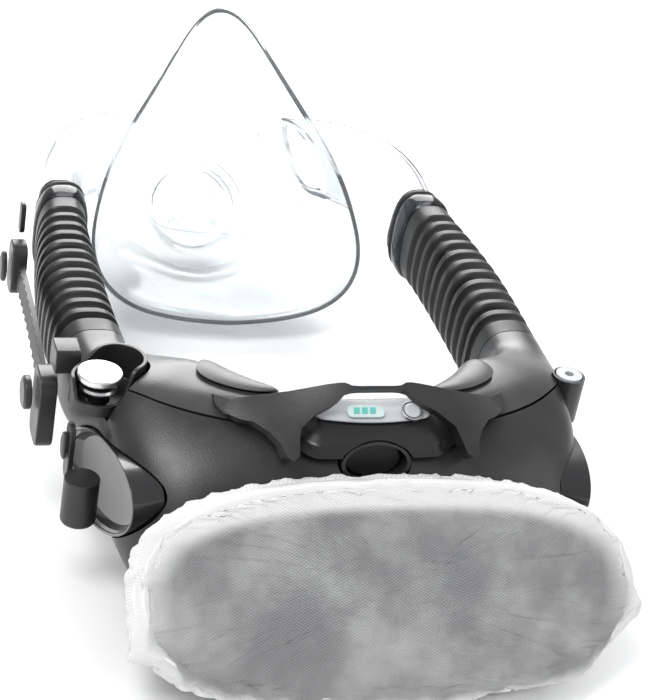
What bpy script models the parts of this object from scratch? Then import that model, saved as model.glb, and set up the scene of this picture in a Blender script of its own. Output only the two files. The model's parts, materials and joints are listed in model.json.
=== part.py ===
"""Powered air respirator: a neck-worn blower unit, two bellows hoses and a clear half mask.

Frames, all in metres with +Z up. The bench frame has its X = 0 on the plane of symmetry and its
origin near the middle of the neck opening, -Y towards the filter and +Y towards the mask. The filter
and the mask are each drawn in a leaning frame of their own (across, up the face, out of the face).
At the end the whole rig is set down, so that the world origin is the bottom centre of its box.
"""

import math

import bmesh
import bpy
import numpy as np
from mathutils import Matrix, Vector

MM = 0.001

# ---- driving dimensions -------------------------------------------------------------------------
GAP = 0.4 * MM  # clearance between pieces that touch or are pressed together
WALL = 1.6 * MM  # wall of the moulded shells
NECK_RADIUS = 53.0 * MM  # neck opening, to the inner face of the neck shell
NECK_CENTRE_Y = 6.0 * MM
CREST_HEIGHT = 58.0 * MM  # top of the neck shell, above the bench origin
SHOULDER_ANGLE = 90.0  # the shells end this far round from the back, at each hose port

HOSE_WIDTH = 23.0 * MM  # oval hose section, across the wall crests
HOSE_HEIGHT = 33.0 * MM
CUFF_WIDTH = 18.0 * MM  # the hose narrows to this at the front
PORT_X = 74.0 * MM  # centre of each hose port
PORT_Z = 34.5 * MM
HOSE_LENGTH = 98.0 * MM  # bellows, port to front cuff
HOSE_RIBS = 12
HOSE_CLIMB = 4.5 * MM  # the front cuff lies this much higher than the port

LEAN = math.radians(37.0)  # filter face and mask seal both lean back by this much
FILTER_CENTRE = (0.0, -105.0 * MM, 25.0 * MM)  # middle of the filter's front plane
FILTER_HALF_WIDTH = 78.5 * MM  # tray outside, across
FILTER_HALF_HEIGHT = 33.5 * MM  # tray outside, up the face
FILTER_RISE = 1.5 * MM  # the tray's middle stands this far up the face
TRAY_DEPTH = 13.0 * MM
SPIGOT_RADIUS = 17.0 * MM  # filter neck that plugs into the blower intake

SEAL_HEIGHT = 129.0 * MM  # mask seal, chin to nose bridge
SEAL_HALF_WIDTH = 55.0 * MM
MASK_ORIGIN = (0.0, 97.8 * MM, -0.5 * MM)  # chin point of the seal
MASK_DEPTH = 57.0 * MM  # dome, seal plane to valve seat
VALVE_UP = 57.0 * MM  # valve centre, up from the chin
VALVE_RADIUS = 19.5 * MM

BLOWER_RADIUS = 20.0 * MM
BLOWER_DEPTH = 12.5 * MM
SHAFT_RADIUS = 1.1 * MM
INTAKE_UP = 11.0 * MM  # the intake is this far up the filter's face from its middle

POST_X = 79.8 * MM  # harness posts, one on each shoulder
POST_Y = -29.5 * MM
POST_RADIUS = 5.6 * MM
POST_TOP = 55.4 * MM

# ---- materials: name -> (colour, roughness, metallic, alpha) ------------------------------------
MATERIALS = {
    "satin_black": ((0.035, 0.035, 0.037), 0.45, 0.0, 1.0),
    "gloss_black": ((0.02, 0.02, 0.022), 0.18, 0.0, 1.0),
    "shell_grey": ((0.09, 0.09, 0.095), 0.4, 0.0, 1.0),
    "rubber_black": ((0.03, 0.03, 0.03), 0.6, 0.0, 1.0),
    "light_grey": ((0.5, 0.5, 0.51), 0.5, 0.0, 1.0),
    "bright_steel": ((0.7, 0.7, 0.71), 0.25, 1.0, 1.0),
    "copper": ((0.7, 0.35, 0.2), 0.35, 1.0, 1.0),
    "teal_display": ((0.25, 0.6, 0.55), 0.4, 0.0, 1.0),
    "board_green": ((0.05, 0.2, 0.09), 0.5, 0.0, 1.0),
    "cell_wrap": ((0.1, 0.25, 0.45), 0.4, 0.0, 1.0),
    "clear_silicone": ((0.9, 0.92, 0.93), 0.1, 0.0, 0.3),
    "filter_fabric": ((0.85, 0.85, 0.84), 0.9, 0.0, 1.0),
    "filter_paper": ((0.75, 0.74, 0.7), 0.9, 0.0, 1.0),
    "white_plastic": ((0.8, 0.8, 0.8), 0.5, 0.0, 1.0),
}


# ---- small tools --------------------------------------------------------------------------------
class Frame:
    """A place to draw in: origin plus three unit axes, called across, up and out."""

    def __init__(self, origin, across, up, out):
        self.origin = np.array(origin, float)
        self.axes = np.array([across, up, out], float)

    def at(self, across, up, out):
        local = np.stack(np.broadcast_arrays(across, up, out), axis=-1).astype(float)
        return self.origin + local @ self.axes

    def moved(self, across=0.0, up=0.0, out=0.0):
        return Frame(self.at(across, up, out), *self.axes)


def leaning(origin, out_sign):
    """Frame of a face that leans back by LEAN. out_sign -1 looks towards -Y and up, +1 the other way."""
    up = (0.0, math.sin(LEAN), math.cos(LEAN))
    out = (0.0, out_sign * math.cos(LEAN), -out_sign * math.sin(LEAN))
    return Frame(origin, (1.0, 0.0, 0.0), up, out)


def upright(x, y, z):
    return Frame((x, y, z), (1, 0, 0), (0, 1, 0), (0, 0, 1))


def sideways(x, y, z, side):
    """Frame on a face that looks along side * X: across is Y, up is Z."""
    return Frame((x, y, z), (0, 1, 0), (0, 0, 1), (side, 0, 0))


FILTER = leaning(FILTER_CENTRE, -1)
MASK = leaning(MASK_ORIGIN, 1)

RIG = None  # the empty that carries every piece


def material(name):
    found = bpy.data.materials.get(name)
    if found:
        return found
    colour, roughness, metallic, alpha = MATERIALS[name]
    made = bpy.data.materials.new(name)
    made.use_nodes = True
    shader = made.node_tree.nodes["Principled BSDF"]
    shader.inputs["Base Color"].default_value = (*colour, 1.0)
    shader.inputs["Roughness"].default_value = roughness
    shader.inputs["Metallic"].default_value = metallic
    shader.inputs["Alpha"].default_value = alpha
    return made


def solid(name, points, faces, finish):
    """One named object from points and faces, faces turned outwards, smooth but for its real edges."""
    mesh = bpy.data.meshes.new(name)
    mesh.from_pydata([tuple(point) for point in points], [], faces)
    work = bmesh.new()
    work.from_mesh(mesh)
    bmesh.ops.recalc_face_normals(work, faces=work.faces)
    work.to_mesh(mesh)
    work.free()
    mesh.shade_smooth()
    mesh.set_sharp_from_angle(angle=math.radians(35))
    obj = bpy.data.objects.new(name, mesh)
    bpy.context.scene.collection.objects.link(obj)
    obj.parent = RIG
    if finish:
        mesh.materials.append(material(finish))
    return obj


def ring_shape(rows):
    """Closed ring: rows[i] is the section at station i, and both directions close on themselves."""
    count, size = rows.shape[:2]
    faces = []
    for i in range(count):
        after = (i + 1) % count
        for j in range(size):
            beside = (j + 1) % size
            faces.append([i * size + j, after * size + j, after * size + beside, i * size + beside])
    return rows.reshape(-1, 3), faces


def stack_shape(rings):
    """Solid stack of closed rings with a flat cap at each end."""
    count, size = rings.shape[:2]
    faces = [list(range(size))[::-1], [(count - 1) * size + j for j in range(size)]]
    for i in range(count - 1):
        for j in range(size):
            beside = (j + 1) % size
            low = i * size
            faces.append([low + j, low + beside, low + size + beside, low + size + j])
    return rings.reshape(-1, 3), faces


def wall_shape(outer, inner, closed=False):
    """Thick sheet between two grids of the same size. closed wraps the second direction round."""
    count, size = outer.shape[:2]
    shift = count * size
    faces = []
    spans = size if closed else size - 1
    for i in range(count - 1):
        for j in range(spans):
            beside = (j + 1) % size
            a, b = i * size + j, i * size + beside
            c, d = a + size, b + size
            faces.append([a, b, d, c])
            faces.append([shift + a, shift + c, shift + d, shift + b])
    for i, turn in ((0, 1), (count - 1, -1)):
        for j in range(spans):
            a, b = i * size + j, i * size + (j + 1) % size
            faces.append([a, shift + a, shift + b, b][::turn])
    if not closed:
        for j, turn in ((0, -1), (size - 1, 1)):
            for i in range(count - 1):
                a, b = i * size + j, (i + 1) * size + j
                faces.append([a, shift + a, shift + b, b][::turn])
    return np.concatenate([outer.reshape(-1, 3), inner.reshape(-1, 3)]), faces


def circle(frame, radius, height, sides, squash=1.0):
    angle = np.arange(sides) * 2 * math.pi / sides
    return frame.at(radius * np.cos(angle), squash * radius * np.sin(angle), height)


def disc_shape(frame, profile, sides=24, squash=1.0):
    """Turned solid: profile is (radius, height) from one flat end to the other."""
    return stack_shape(np.array([circle(frame, r, h, sides, squash) for r, h in profile]))


def turned_ring_shape(frame, profile, sides=24, squash=1.0):
    """Turned ring: profile is a closed loop of (radius, height) clear of the axis."""
    loop = np.array([circle(frame, r, h, sides, squash) for r, h in profile])
    return ring_shape(loop.transpose(1, 0, 2))


def tube_profile(inner, outer, low, high):
    return [(outer, low), (outer, high), (inner, high), (inner, low)]


def plate_shape(frame, outline, low, high):
    """Prism with the (across, up) outline, between two heights."""
    outline = np.array(outline)
    rings = [frame.at(outline[:, 0], outline[:, 1], height) for height in (low, high)]
    return stack_shape(np.array(rings))


def rounded_outline(half_width, half_height, corner, steps=4):
    """Rectangle with round corners, as (across, up) points."""
    points = []
    for quarter, (sx, sy) in enumerate(((1, 1), (-1, 1), (-1, -1), (1, -1))):
        for step in range(steps + 1):
            angle = (quarter + step / steps) * math.pi / 2
            points.append(
                (
                    sx * (half_width - corner) + corner * math.cos(angle),
                    sy * (half_height - corner) + corner * math.sin(angle),
                )
            )
    return np.array(points)


def oval(angle, half_width, half_height):
    """Points of a squarish oval, as (across, up)."""
    cosine, sine = np.cos(angle), np.sin(angle)
    across = half_width * np.sign(cosine) * np.abs(cosine) ** (2 / OVAL_POWER)
    return across, half_height * np.sign(sine) * np.abs(sine) ** (2 / OVAL_POWER)


def smoothstep(value):
    value = np.clip(value, 0.0, 1.0)
    return value * value * (3 - 2 * value)


def cut(obj, cutter):
    """Takes the cutter's shape out of obj."""
    cutter.hide_render = True
    cutter.display_type = "WIRE"
    step = obj.modifiers.new("cut_" + cutter.name, "BOOLEAN")
    step.operation = "DIFFERENCE"
    step.solver = "EXACT"
    step.object = cutter


# ---- the housing's skin -------------------------------------------------------------------------
# A section stands on each ray from the neck's centre. Sixteen knots go round it: up the neck side,
# over the crest, down the outside and back along the bottom.
INNER_KNOTS = np.array([0.14, 0.32, 0.50, 0.68, 0.85])  # heights up the neck side, as shares
OUTER_KNOTS = np.array([1.0, 0.975, 0.90, 0.78, 0.62, 0.42, 0.20])  # heights down the outside
OVAL_DEGREES = np.array([218, 200, 182, 164, 146, 125, 102, 75, 44, 12, -14, -35, -53, -70, -95, -120])
OVAL_POWER = 2.8  # how square the oval ports and hoses are
LEVELS = np.array([-9, -4, 0, 5, 20, 40, 46, 50, 53, 56, 58]) * MM
HALF_DEPTHS = np.array([107, 112.5, 111.5, 108, 97, 81.5, 77.5, 73, 68, 61, 58]) * MM
SIDE_LEVELS = np.array([-9, 0, 8, 20, 35, 45, 52, 56, 58]) * MM
HALF_WIDTHS = np.array([70, 74, 77, 79, 80, 81.5, 82.5, 82, 80]) * MM
UPPER_SPLIT, LOWER_SPLIT = 8.5, 0.5  # knots where the two shells part
HALF_PART = 0.04  # half the parting gap, in knots


def outline_radius(angle, height):
    """Distance from the neck's centre to the outside: a squarish outline low down, rounder at the top."""
    depth = np.interp(height, LEVELS, HALF_DEPTHS)
    width = np.interp(height, SIDE_LEVELS, HALF_WIDTHS)
    power = np.interp(height, [35 * MM, 56 * MM], [5.0, 2.6])
    share = (np.abs(np.sin(angle)) / width) ** power + (np.abs(np.cos(angle)) / depth) ** power
    return share ** (-1 / power)


def section_knots(angle):
    """The sixteen knots of the sections at these angles, as (radius, height)."""
    turn = np.degrees(np.abs(angle))[:, None]
    low = (-9.0 + 13.0 * smoothstep((turn - 15) / 40)) * MM
    high = np.full_like(turn, CREST_HEIGHT)
    rays = angle[:, None]
    inner_z = low + INNER_KNOTS * (high - low)
    inner_r = np.full_like(inner_z, NECK_RADIUS)
    outer_z = low + OUTER_KNOTS * (high - low)
    outer_r = outline_radius(rays, outer_z)
    crest_r = NECK_RADIUS + np.array([0.9, 4.2]) * MM + 0 * turn
    crest_z = high - np.array([3.4, 0.3]) * MM
    outer_r[:, :1] = 0.45 * crest_r[:, 1:] + 0.55 * outer_r[:, 1:2]
    floor_z = low + np.array([3.0, 1.0]) * MM
    reach = outline_radius(rays, floor_z) - NECK_RADIUS
    floor_r = NECK_RADIUS + np.array([0.86, 0.25]) * reach
    block_r = np.concatenate([inner_r, crest_r, outer_r, floor_r], axis=1)
    block_z = np.concatenate([inner_z, crest_z, outer_z, floor_z], axis=1)
    across, up = oval(np.radians(OVAL_DEGREES), HOSE_WIDTH / 2, HOSE_HEIGHT / 2)
    blend = smoothstep((turn - 55) / (SHOULDER_ANGLE - 4 - 55))
    return block_r + blend * (PORT_X + across - block_r), block_z + blend * (PORT_Z + up - block_z)


def round_loop(values, knots):
    """Catmull-Rom curve round a closed loop of knots."""
    size = values.shape[1]
    base = np.floor(knots).astype(int)
    t = knots - base
    p0, p1, p2, p3 = (values[:, (base + step) % size] for step in (-1, 0, 1, 2))
    return 0.5 * (
        2 * p1 + (p2 - p0) * t + (2 * p0 - 5 * p1 + 4 * p2 - p3) * t**2 + (3 * p1 - p0 - 3 * p2 + p3) * t**3
    )


def skin(angle, knots):
    """Points of the housing's skin. angle is (n,) in radians, knots is (m,) or (n, m)."""
    radius, height = section_knots(angle)
    if knots.ndim == 1:
        knots = np.broadcast_to(knots, (len(angle), len(knots)))
    rows = []
    for row in range(len(angle)):
        r = round_loop(radius[row : row + 1], knots[row])[0]
        z = round_loop(height[row : row + 1], knots[row])[0]
        x = r * math.sin(angle[row])
        y = NECK_CENTRE_Y - r * math.cos(angle[row])
        rows.append(np.stack([x, y, z], axis=-1))
    return np.array(rows)


def raised(angle, knots, height):
    """The skin pushed outwards by height, a number or an (n, m) grid."""
    step = math.radians(2.0)
    here = skin(angle, knots)
    round_way = skin(angle + step, knots) - skin(angle - step, knots)
    along = skin(angle, knots + 0.3) - skin(angle, knots - 0.3)
    normal = np.cross(along, round_way)
    normal /= np.linalg.norm(normal, axis=-1, keepdims=True)
    return here + normal * np.asarray(height)[..., None]


def skin_shape(angle, knots, inside, outside):
    return wall_shape(raised(angle, knots, outside), raised(angle, knots, inside))


def build_shells():
    angle = np.radians(np.linspace(-SHOULDER_ANGLE, SHOULDER_ANGLE, 27))
    neck = [LOWER_SPLIT + HALF_PART, 2.0, 3.6, 4.6, 5.2, 5.8, 6.4, 7.1, 7.8, UPPER_SPLIT - HALF_PART]
    back = [UPPER_SPLIT + HALF_PART, 9.2, 10.0, 11.0, 12.0, 12.8, 13.4, 14.0, 14.8, 15.6, 16 + LOWER_SPLIT - HALF_PART]
    neck, back = np.array(neck), np.array(back)
    neck_shell = solid("neck_shell", *skin_shape(angle, neck, -WALL, 0.0), "shell_grey")
    back_shell = solid("back_shell", *skin_shape(angle, back, -WALL, 0.0), "satin_black")
    return neck_shell, back_shell


# ---- console: keypad, display, button and charge port ------------------------------------------
CONSOLE_HALF_ANGLE = math.radians(22.0)
CONSOLE_THICK = 1.6 * MM
# the console's middle section, from the crest down to the filter: distance from the neck's centre, height
CONSOLE_REACH = np.array([57.2, 61.0, 65.6, 69.0, 72.6, 75.8, 76.9]) * MM
CONSOLE_HEIGHT = np.array([59.9, 60.6, 59.6, 58.0, 56.4, 54.4, 50.6]) * MM
CONSOLE_KNOTS = np.array([6.3, 6.8, 7.4, 7.9, 8.3, 8.7, 9.05])  # where its sides lie on the shells
KEYPAD_THICK = 0.8 * MM
KEYPAD_FIT = 0.6 * MM  # the keypad stands this far off the console
KEYPAD_TOP, KEYPAD_DROP = 0.17, 0.33  # shares of the way down the console


def hump(angle, share):
    """Points on the console's hump. share runs from 0 at the crest to 1 at the filter."""
    at = np.linspace(0, 1, len(CONSOLE_REACH))
    reach = np.interp(share, at, CONSOLE_REACH) / np.cos(angle[:, None]) ** 0.8
    height = np.interp(share, at, CONSOLE_HEIGHT)
    x = reach * np.sin(angle[:, None])
    y = NECK_CENTRE_Y - reach * np.cos(angle[:, None])
    return np.stack([x, y, height + 0 * x], axis=-1)


def console_skin(angle, share, height):
    """The console's surface raised by height: the hump in the middle, running out onto the shells at its sides."""
    if share.ndim == 1:
        share = np.broadcast_to(share, (len(angle), len(share)))
    round_way = hump(angle + 1e-3, share) - hump(angle - 1e-3, share)
    along = hump(angle, share + 0.02) - hump(angle, share - 0.02)
    normal = np.cross(along, round_way)
    normal /= np.linalg.norm(normal, axis=-1, keepdims=True)
    height = height + 0 * share
    knots = np.interp(share, np.linspace(0, 1, len(CONSOLE_KNOTS)), CONSOLE_KNOTS)
    edge = raised(angle, knots, 2 * GAP + CONSOLE_THICK * 0.7 + height)
    middle = 1 - smoothstep((np.abs(angle) / CONSOLE_HALF_ANGLE - 0.62) / 0.38)[:, None, None]
    return middle * (hump(angle, share) + normal * height[..., None]) + (1 - middle) * edge


def build_console():
    angle = np.linspace(-CONSOLE_HALF_ANGLE, CONSOLE_HALF_ANGLE, 13)
    share = np.linspace(0, 1, 8)
    centre = 1 - smoothstep((np.abs(angle) / CONSOLE_HALF_ANGLE - 0.62) / 0.38)[:, None]
    depth = CONSOLE_THICK * (0.7 + 0.3 * centre) + 0 * share[None, :]
    panel = wall_shape(console_skin(angle, share, 0.0), console_skin(angle, share, -depth))
    console = solid("console_panel", *panel, "gloss_black")
    angle = np.linspace(-CONSOLE_HALF_ANGLE * 0.72, CONSOLE_HALF_ANGLE * 0.72, 9)
    curve = 1 - 0.4 * (angle / CONSOLE_HALF_ANGLE) ** 2
    share = KEYPAD_TOP + np.outer(curve, np.linspace(0, 1, 4)) * KEYPAD_DROP
    face = KEYPAD_FIT + KEYPAD_THICK
    lens = wall_shape(console_skin(angle, share, face), console_skin(angle, share, KEYPAD_FIT))
    solid("keypad_panel", *lens, "light_grey")
    return console


def keypad_frame(angle, share):
    """Frame standing on the keypad at this place."""
    spot, level = np.array([angle]), np.array([share])
    face = KEYPAD_FIT + KEYPAD_THICK
    here = console_skin(spot, level, face)[0, 0]
    out = console_skin(spot, level, face + MM)[0, 0] - here
    out /= np.linalg.norm(out)
    across = console_skin(spot + 1e-3, level, face)[0, 0] - here
    across -= out * (across @ out)
    across /= np.linalg.norm(across)
    return Frame(here, across, np.cross(out, across), out)


DISPLAY_HALF = (6.0 * MM, 2.1 * MM)
DISPLAY_THICK = 0.6 * MM
BUTTON_RADIUS = 2.6 * MM
BUTTON_ANGLE = math.radians(10.5)
PORT_RADIUS = 11.4 * MM
PORT_SQUASH = 0.62
PORT_SPOT = (0.0, -70.5 * MM, 48.4 * MM)
PORT_LIFT = math.radians(11.0)  # the port looks up by this much


def build_controls(console, back_shell):
    display = keypad_frame(math.radians(-2.5), KEYPAD_TOP + 0.55 * KEYPAD_DROP)
    lens = rounded_outline(*DISPLAY_HALF, 1.6 * MM, 3)
    solid("battery_display", *plate_shape(display, lens, GAP, GAP + DISPLAY_THICK), "teal_display")
    key = keypad_frame(BUTTON_ANGLE, KEYPAD_TOP + 0.58 * KEYPAD_DROP)
    bezel = tube_profile(BUTTON_RADIUS + GAP, BUTTON_RADIUS + 0.9 * MM, GAP, GAP + 1.0 * MM)
    solid("button_bezel", *turned_ring_shape(key, bezel, 20), "bright_steel")
    cap = [(BUTTON_RADIUS, 0.9 * MM), (BUTTON_RADIUS, 1.5 * MM), (BUTTON_RADIUS * 0.8, 1.8 * MM)]
    solid("power_button", *disc_shape(key, cap, 20), "light_grey")

    upward = (0.0, math.sin(PORT_LIFT), math.cos(PORT_LIFT))
    port = Frame(PORT_SPOT, (1, 0, 0), upward, (0, -math.cos(PORT_LIFT), math.sin(PORT_LIFT)))
    hole = [(PORT_RADIUS + GAP / PORT_SQUASH, -9 * MM), (PORT_RADIUS + GAP / PORT_SQUASH, 12 * MM)]
    hole = solid("port_hole", *disc_shape(port, hole, 24, PORT_SQUASH), None)
    cut(console, hole)
    cut(back_shell, hole)
    rim = tube_profile(PORT_RADIUS - 1.4 * MM, PORT_RADIUS, -6.0 * MM, 0.3 * MM)
    solid("charge_port_rim", *turned_ring_shape(port, rim, 24, PORT_SQUASH), "satin_black")
    plug = [(PORT_RADIUS - 1.4 * MM - 2 * GAP, -6.0 * MM), (PORT_RADIUS - 1.4 * MM - 2 * GAP, -4.4 * MM)]
    solid("charge_port_plug", *disc_shape(port, plug, 24, PORT_SQUASH), "rubber_black")


# ---- the yoke over the console ------------------------------------------------------------------
YOKE_HALF_WIDTH = 48.0 * MM
YOKE_THICK = 2.6 * MM
YOKE_FOOT = 8.0 * MM  # depth of its two feet
# the arch's two edges: distance from the middle, then shares of the way down to its feet
YOKE_SPOTS = np.array([0, 6, 8, 10, 12, 15, 19.5, 25, 26, 27, 29, 31, 32, 34.5, 38.5, 42, 46, 48]) * MM
YOKE_TOP = np.array([20, 20, 21, 26, 26, 24, 20, 15, 14, 13, 12, 10, 9, 8, 6, 4, 2, 2]) * -0.01
YOKE_LOW = np.array([-14, -14, -13, -10, 1, 13, 25, 50, 68, 96, 104, 98, 76, 56, 38, 33, 21, 12]) * 0.01


def shell_height(x, y):
    """Height of the shells' outside above the points (x, y), for places behind the crest."""
    knots = np.linspace(6.0, 11.0, 41)
    found = np.zeros_like(x)
    for spot in np.ndindex(x.shape):
        angle = math.atan2(x[spot], NECK_CENTRE_Y - y[spot])
        line = skin(np.array([angle]), knots)[0]
        reach = np.maximum.accumulate(np.hypot(line[:, 0], line[:, 1] - NECK_CENTRE_Y))
        found[spot] = np.interp(math.hypot(x[spot], y[spot] - NECK_CENTRE_Y), reach, line[:, 2])
    return found


def build_yoke():
    """Arch with two legs that come down beside the console to the filter's top edge."""
    half = np.array([0, 3, 6, 8, 10, 12, 15, 19.5, 23, 25, 26, 27, 29, 31, 32, 34.5, 38.5, 43, 48]) * MM
    x = np.concatenate([-half[:0:-1], half])
    far = np.abs(x)
    share = far / YOKE_HALF_WIDTH
    top_y = (-61.9 + 14.9 * share**2) * MM
    top_z = (67.2 - 10.2 * share**2) * MM
    upper = np.interp(far, YOKE_SPOTS, YOKE_TOP)[:, None]
    lower = np.interp(far, YOKE_SPOTS, YOKE_LOW)[:, None]
    down = upper + (lower - upper) * np.linspace(0, 1, 4)[None, :]
    y = top_y[:, None] + (-76.4 * MM - top_y)[:, None] * down
    z = top_z[:, None] + (55.0 * MM - top_z)[:, None] * down
    outer = np.stack([np.broadcast_to(x[:, None], y.shape), y, z], axis=-1)
    foot = np.clip(down, 0, 1)[..., None] ** 1.4
    inner = outer + (1 - foot) * YOKE_THICK * np.array([0, 0.5, -0.866]) - foot * YOKE_FOOT * FILTER.axes[2]
    under = shell_height(inner[..., 0], inner[..., 1]) + 1.5 * GAP
    inner[..., 2] = np.maximum(inner[..., 2], under)
    outer[..., 2] = np.maximum(outer[..., 2], inner[..., 2] + 1.4 * MM)
    solid("filter_yoke", *wall_shape(outer, inner), "satin_black")


# ---- filter -------------------------------------------------------------------------------------
FILTER_POWER = 2.7  # how square the oval tray is
RING_SIDES = 28


def filter_loop(half_width, half_height, out, sides=RING_SIDES, power=FILTER_POWER):
    """Squarish oval round the tray's middle."""
    angle = np.arange(sides) * 2 * math.pi / sides
    cosine, sine = np.cos(angle), np.sin(angle)
    across = half_width * np.sign(cosine) * np.abs(cosine) ** (2 / power)
    up = FILTER_RISE + half_height * np.sign(sine) * np.abs(sine) ** (2 / power)
    return FILTER.at(across, up, out)


def filter_ring_shape(profile):
    """Ring round the tray: profile is a closed loop of (inset from the tray's outside, out)."""
    loops = [filter_loop(FILTER_HALF_WIDTH - inset, FILTER_HALF_HEIGHT - inset, out) for inset, out in profile]
    return ring_shape(np.array(loops).transpose(1, 0, 2))


TRAY_WALL = 1.6 * MM
COVER_CLOTH = 0.8 * MM
COVER_SPREAD = 3.4 * MM  # the cloth stands this far outside the tray
COVER_LIFT = 1.5 * MM  # and this far in front of it


def build_filter():
    back = -TRAY_DEPTH

    def round_loop_at(radius, out):
        return circle(FILTER.moved(up=INTAKE_UP), radius, out, RING_SIDES)

    def tray_loop(inset, out):
        return filter_loop(FILTER_HALF_WIDTH - inset, FILTER_HALF_HEIGHT - inset, out)

    rows = [
        tray_loop(1.2 * MM, -3.0 * MM),
        tray_loop(0.0, back + 4 * MM),
        tray_loop(2.0 * MM, back),
        round_loop_at(SPIGOT_RADIUS, back),
        round_loop_at(SPIGOT_RADIUS, back - 6 * MM),
        round_loop_at(SPIGOT_RADIUS - TRAY_WALL, back - 6 * MM),
        round_loop_at(SPIGOT_RADIUS - TRAY_WALL, back + TRAY_WALL),
        tray_loop(2.0 * MM + TRAY_WALL, back + TRAY_WALL),
        tray_loop(TRAY_WALL, back + 4 * MM + TRAY_WALL * 0.5),
        tray_loop(1.2 * MM + TRAY_WALL, -3.0 * MM),
    ]
    solid("filter_tray", *ring_shape(np.array(rows).transpose(1, 0, 2)), "white_plastic")

    lip = [(1.2 * MM, -2.5 * MM), (1.6 * MM, -0.4 * MM), (6.5 * MM, -0.4 * MM), (6.5 * MM, -1.6 * MM)]
    lip += [(3.2 * MM, -1.6 * MM), (3.2 * MM, -2.5 * MM)]
    solid("filter_retaining_ring", *filter_ring_shape(lip), "white_plastic")

    pleats = 18
    reach = FILTER_HALF_WIDTH - 6.5 * MM
    across = np.linspace(-reach, reach, 2 * pleats + 1)
    tall = (FILTER_HALF_HEIGHT - 6.0 * MM) * (1 - (np.abs(across) / (reach * 1.04)) ** FILTER_POWER) ** (1 / FILTER_POWER)
    fold = np.where(np.arange(len(across)) % 2 == 0, -2.6 * MM, -9.0 * MM)
    strips = []
    for out in (fold, fold - 0.8 * MM):
        strips.append(np.stack([FILTER.at(across, FILTER_RISE - tall, out), FILTER.at(across, FILTER_RISE + tall, out)], axis=1))
    solid("filter_pleats", *wall_shape(strips[0], strips[1]), "filter_paper")

    cloth_out = [
        (FILTER_HALF_WIDTH * 0.30, FILTER_HALF_HEIGHT * 0.30, 1.0),
        (FILTER_HALF_WIDTH - 9 * MM, FILTER_HALF_HEIGHT - 9 * MM, 1.0),
        (FILTER_HALF_WIDTH - 1.5 * MM, FILTER_HALF_HEIGHT - 1.5 * MM, 0.6),
        (FILTER_HALF_WIDTH + COVER_SPREAD - 1 * MM, FILTER_HALF_HEIGHT + COVER_SPREAD - 1 * MM, -2.2),
        (FILTER_HALF_WIDTH + COVER_SPREAD, FILTER_HALF_HEIGHT + COVER_SPREAD, -5.5),
        (FILTER_HALF_WIDTH + 2.2 * MM, FILTER_HALF_HEIGHT + 2.2 * MM, -10.0),
        (FILTER_HALF_WIDTH + 1.6 * MM, FILTER_HALF_HEIGHT + 1.6 * MM, -TRAY_DEPTH / MM),
    ]
    outer = [filter_loop(w, h, COVER_LIFT + out * MM - MM) for w, h, out in cloth_out]
    inner = []
    for index, (w, h, out) in enumerate(cloth_out):
        inward = 0.0 if index < 2 else COVER_CLOTH * 0.75
        drop = COVER_CLOTH if index < 2 else COVER_CLOTH * (0.75 if index < 4 else 0.0)
        inner.append(filter_loop(w - inward, h - inward, COVER_LIFT + out * MM - MM - drop))
    points, faces = cloth_shape(np.array(outer), np.array(inner))
    solid("prefilter_cover", points, faces, "filter_fabric")
    elastic = [
        filter_loop(FILTER_HALF_WIDTH + grow * MM, FILTER_HALF_HEIGHT + grow * MM, out * MM)
        for grow, out in ((-0.9, -14.1), (0.3, -14.1), (0.3, -13.4), (-0.9, -13.4))
    ]
    solid("cover_elastic", *ring_shape(np.array(elastic).transpose(1, 0, 2)), "filter_fabric")


def cloth_shape(outer, inner):
    """Dish: rings from the middle out, closed over the middle by a flat cap on each face."""
    count, size = outer.shape[:2]
    points, faces = wall_shape(outer, inner, closed=True)
    shift = count * size
    # the strip that would join the two innermost rings is left out, and each gets its own cap
    strip = {frozenset((j, (j + 1) % size, shift + j, shift + (j + 1) % size)) for j in range(size)}
    faces = [face for face in faces if frozenset(face) not in strip]
    faces.append(list(range(size)))
    faces.append([shift + j for j in range(size)][::-1])
    return points, faces


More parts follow.
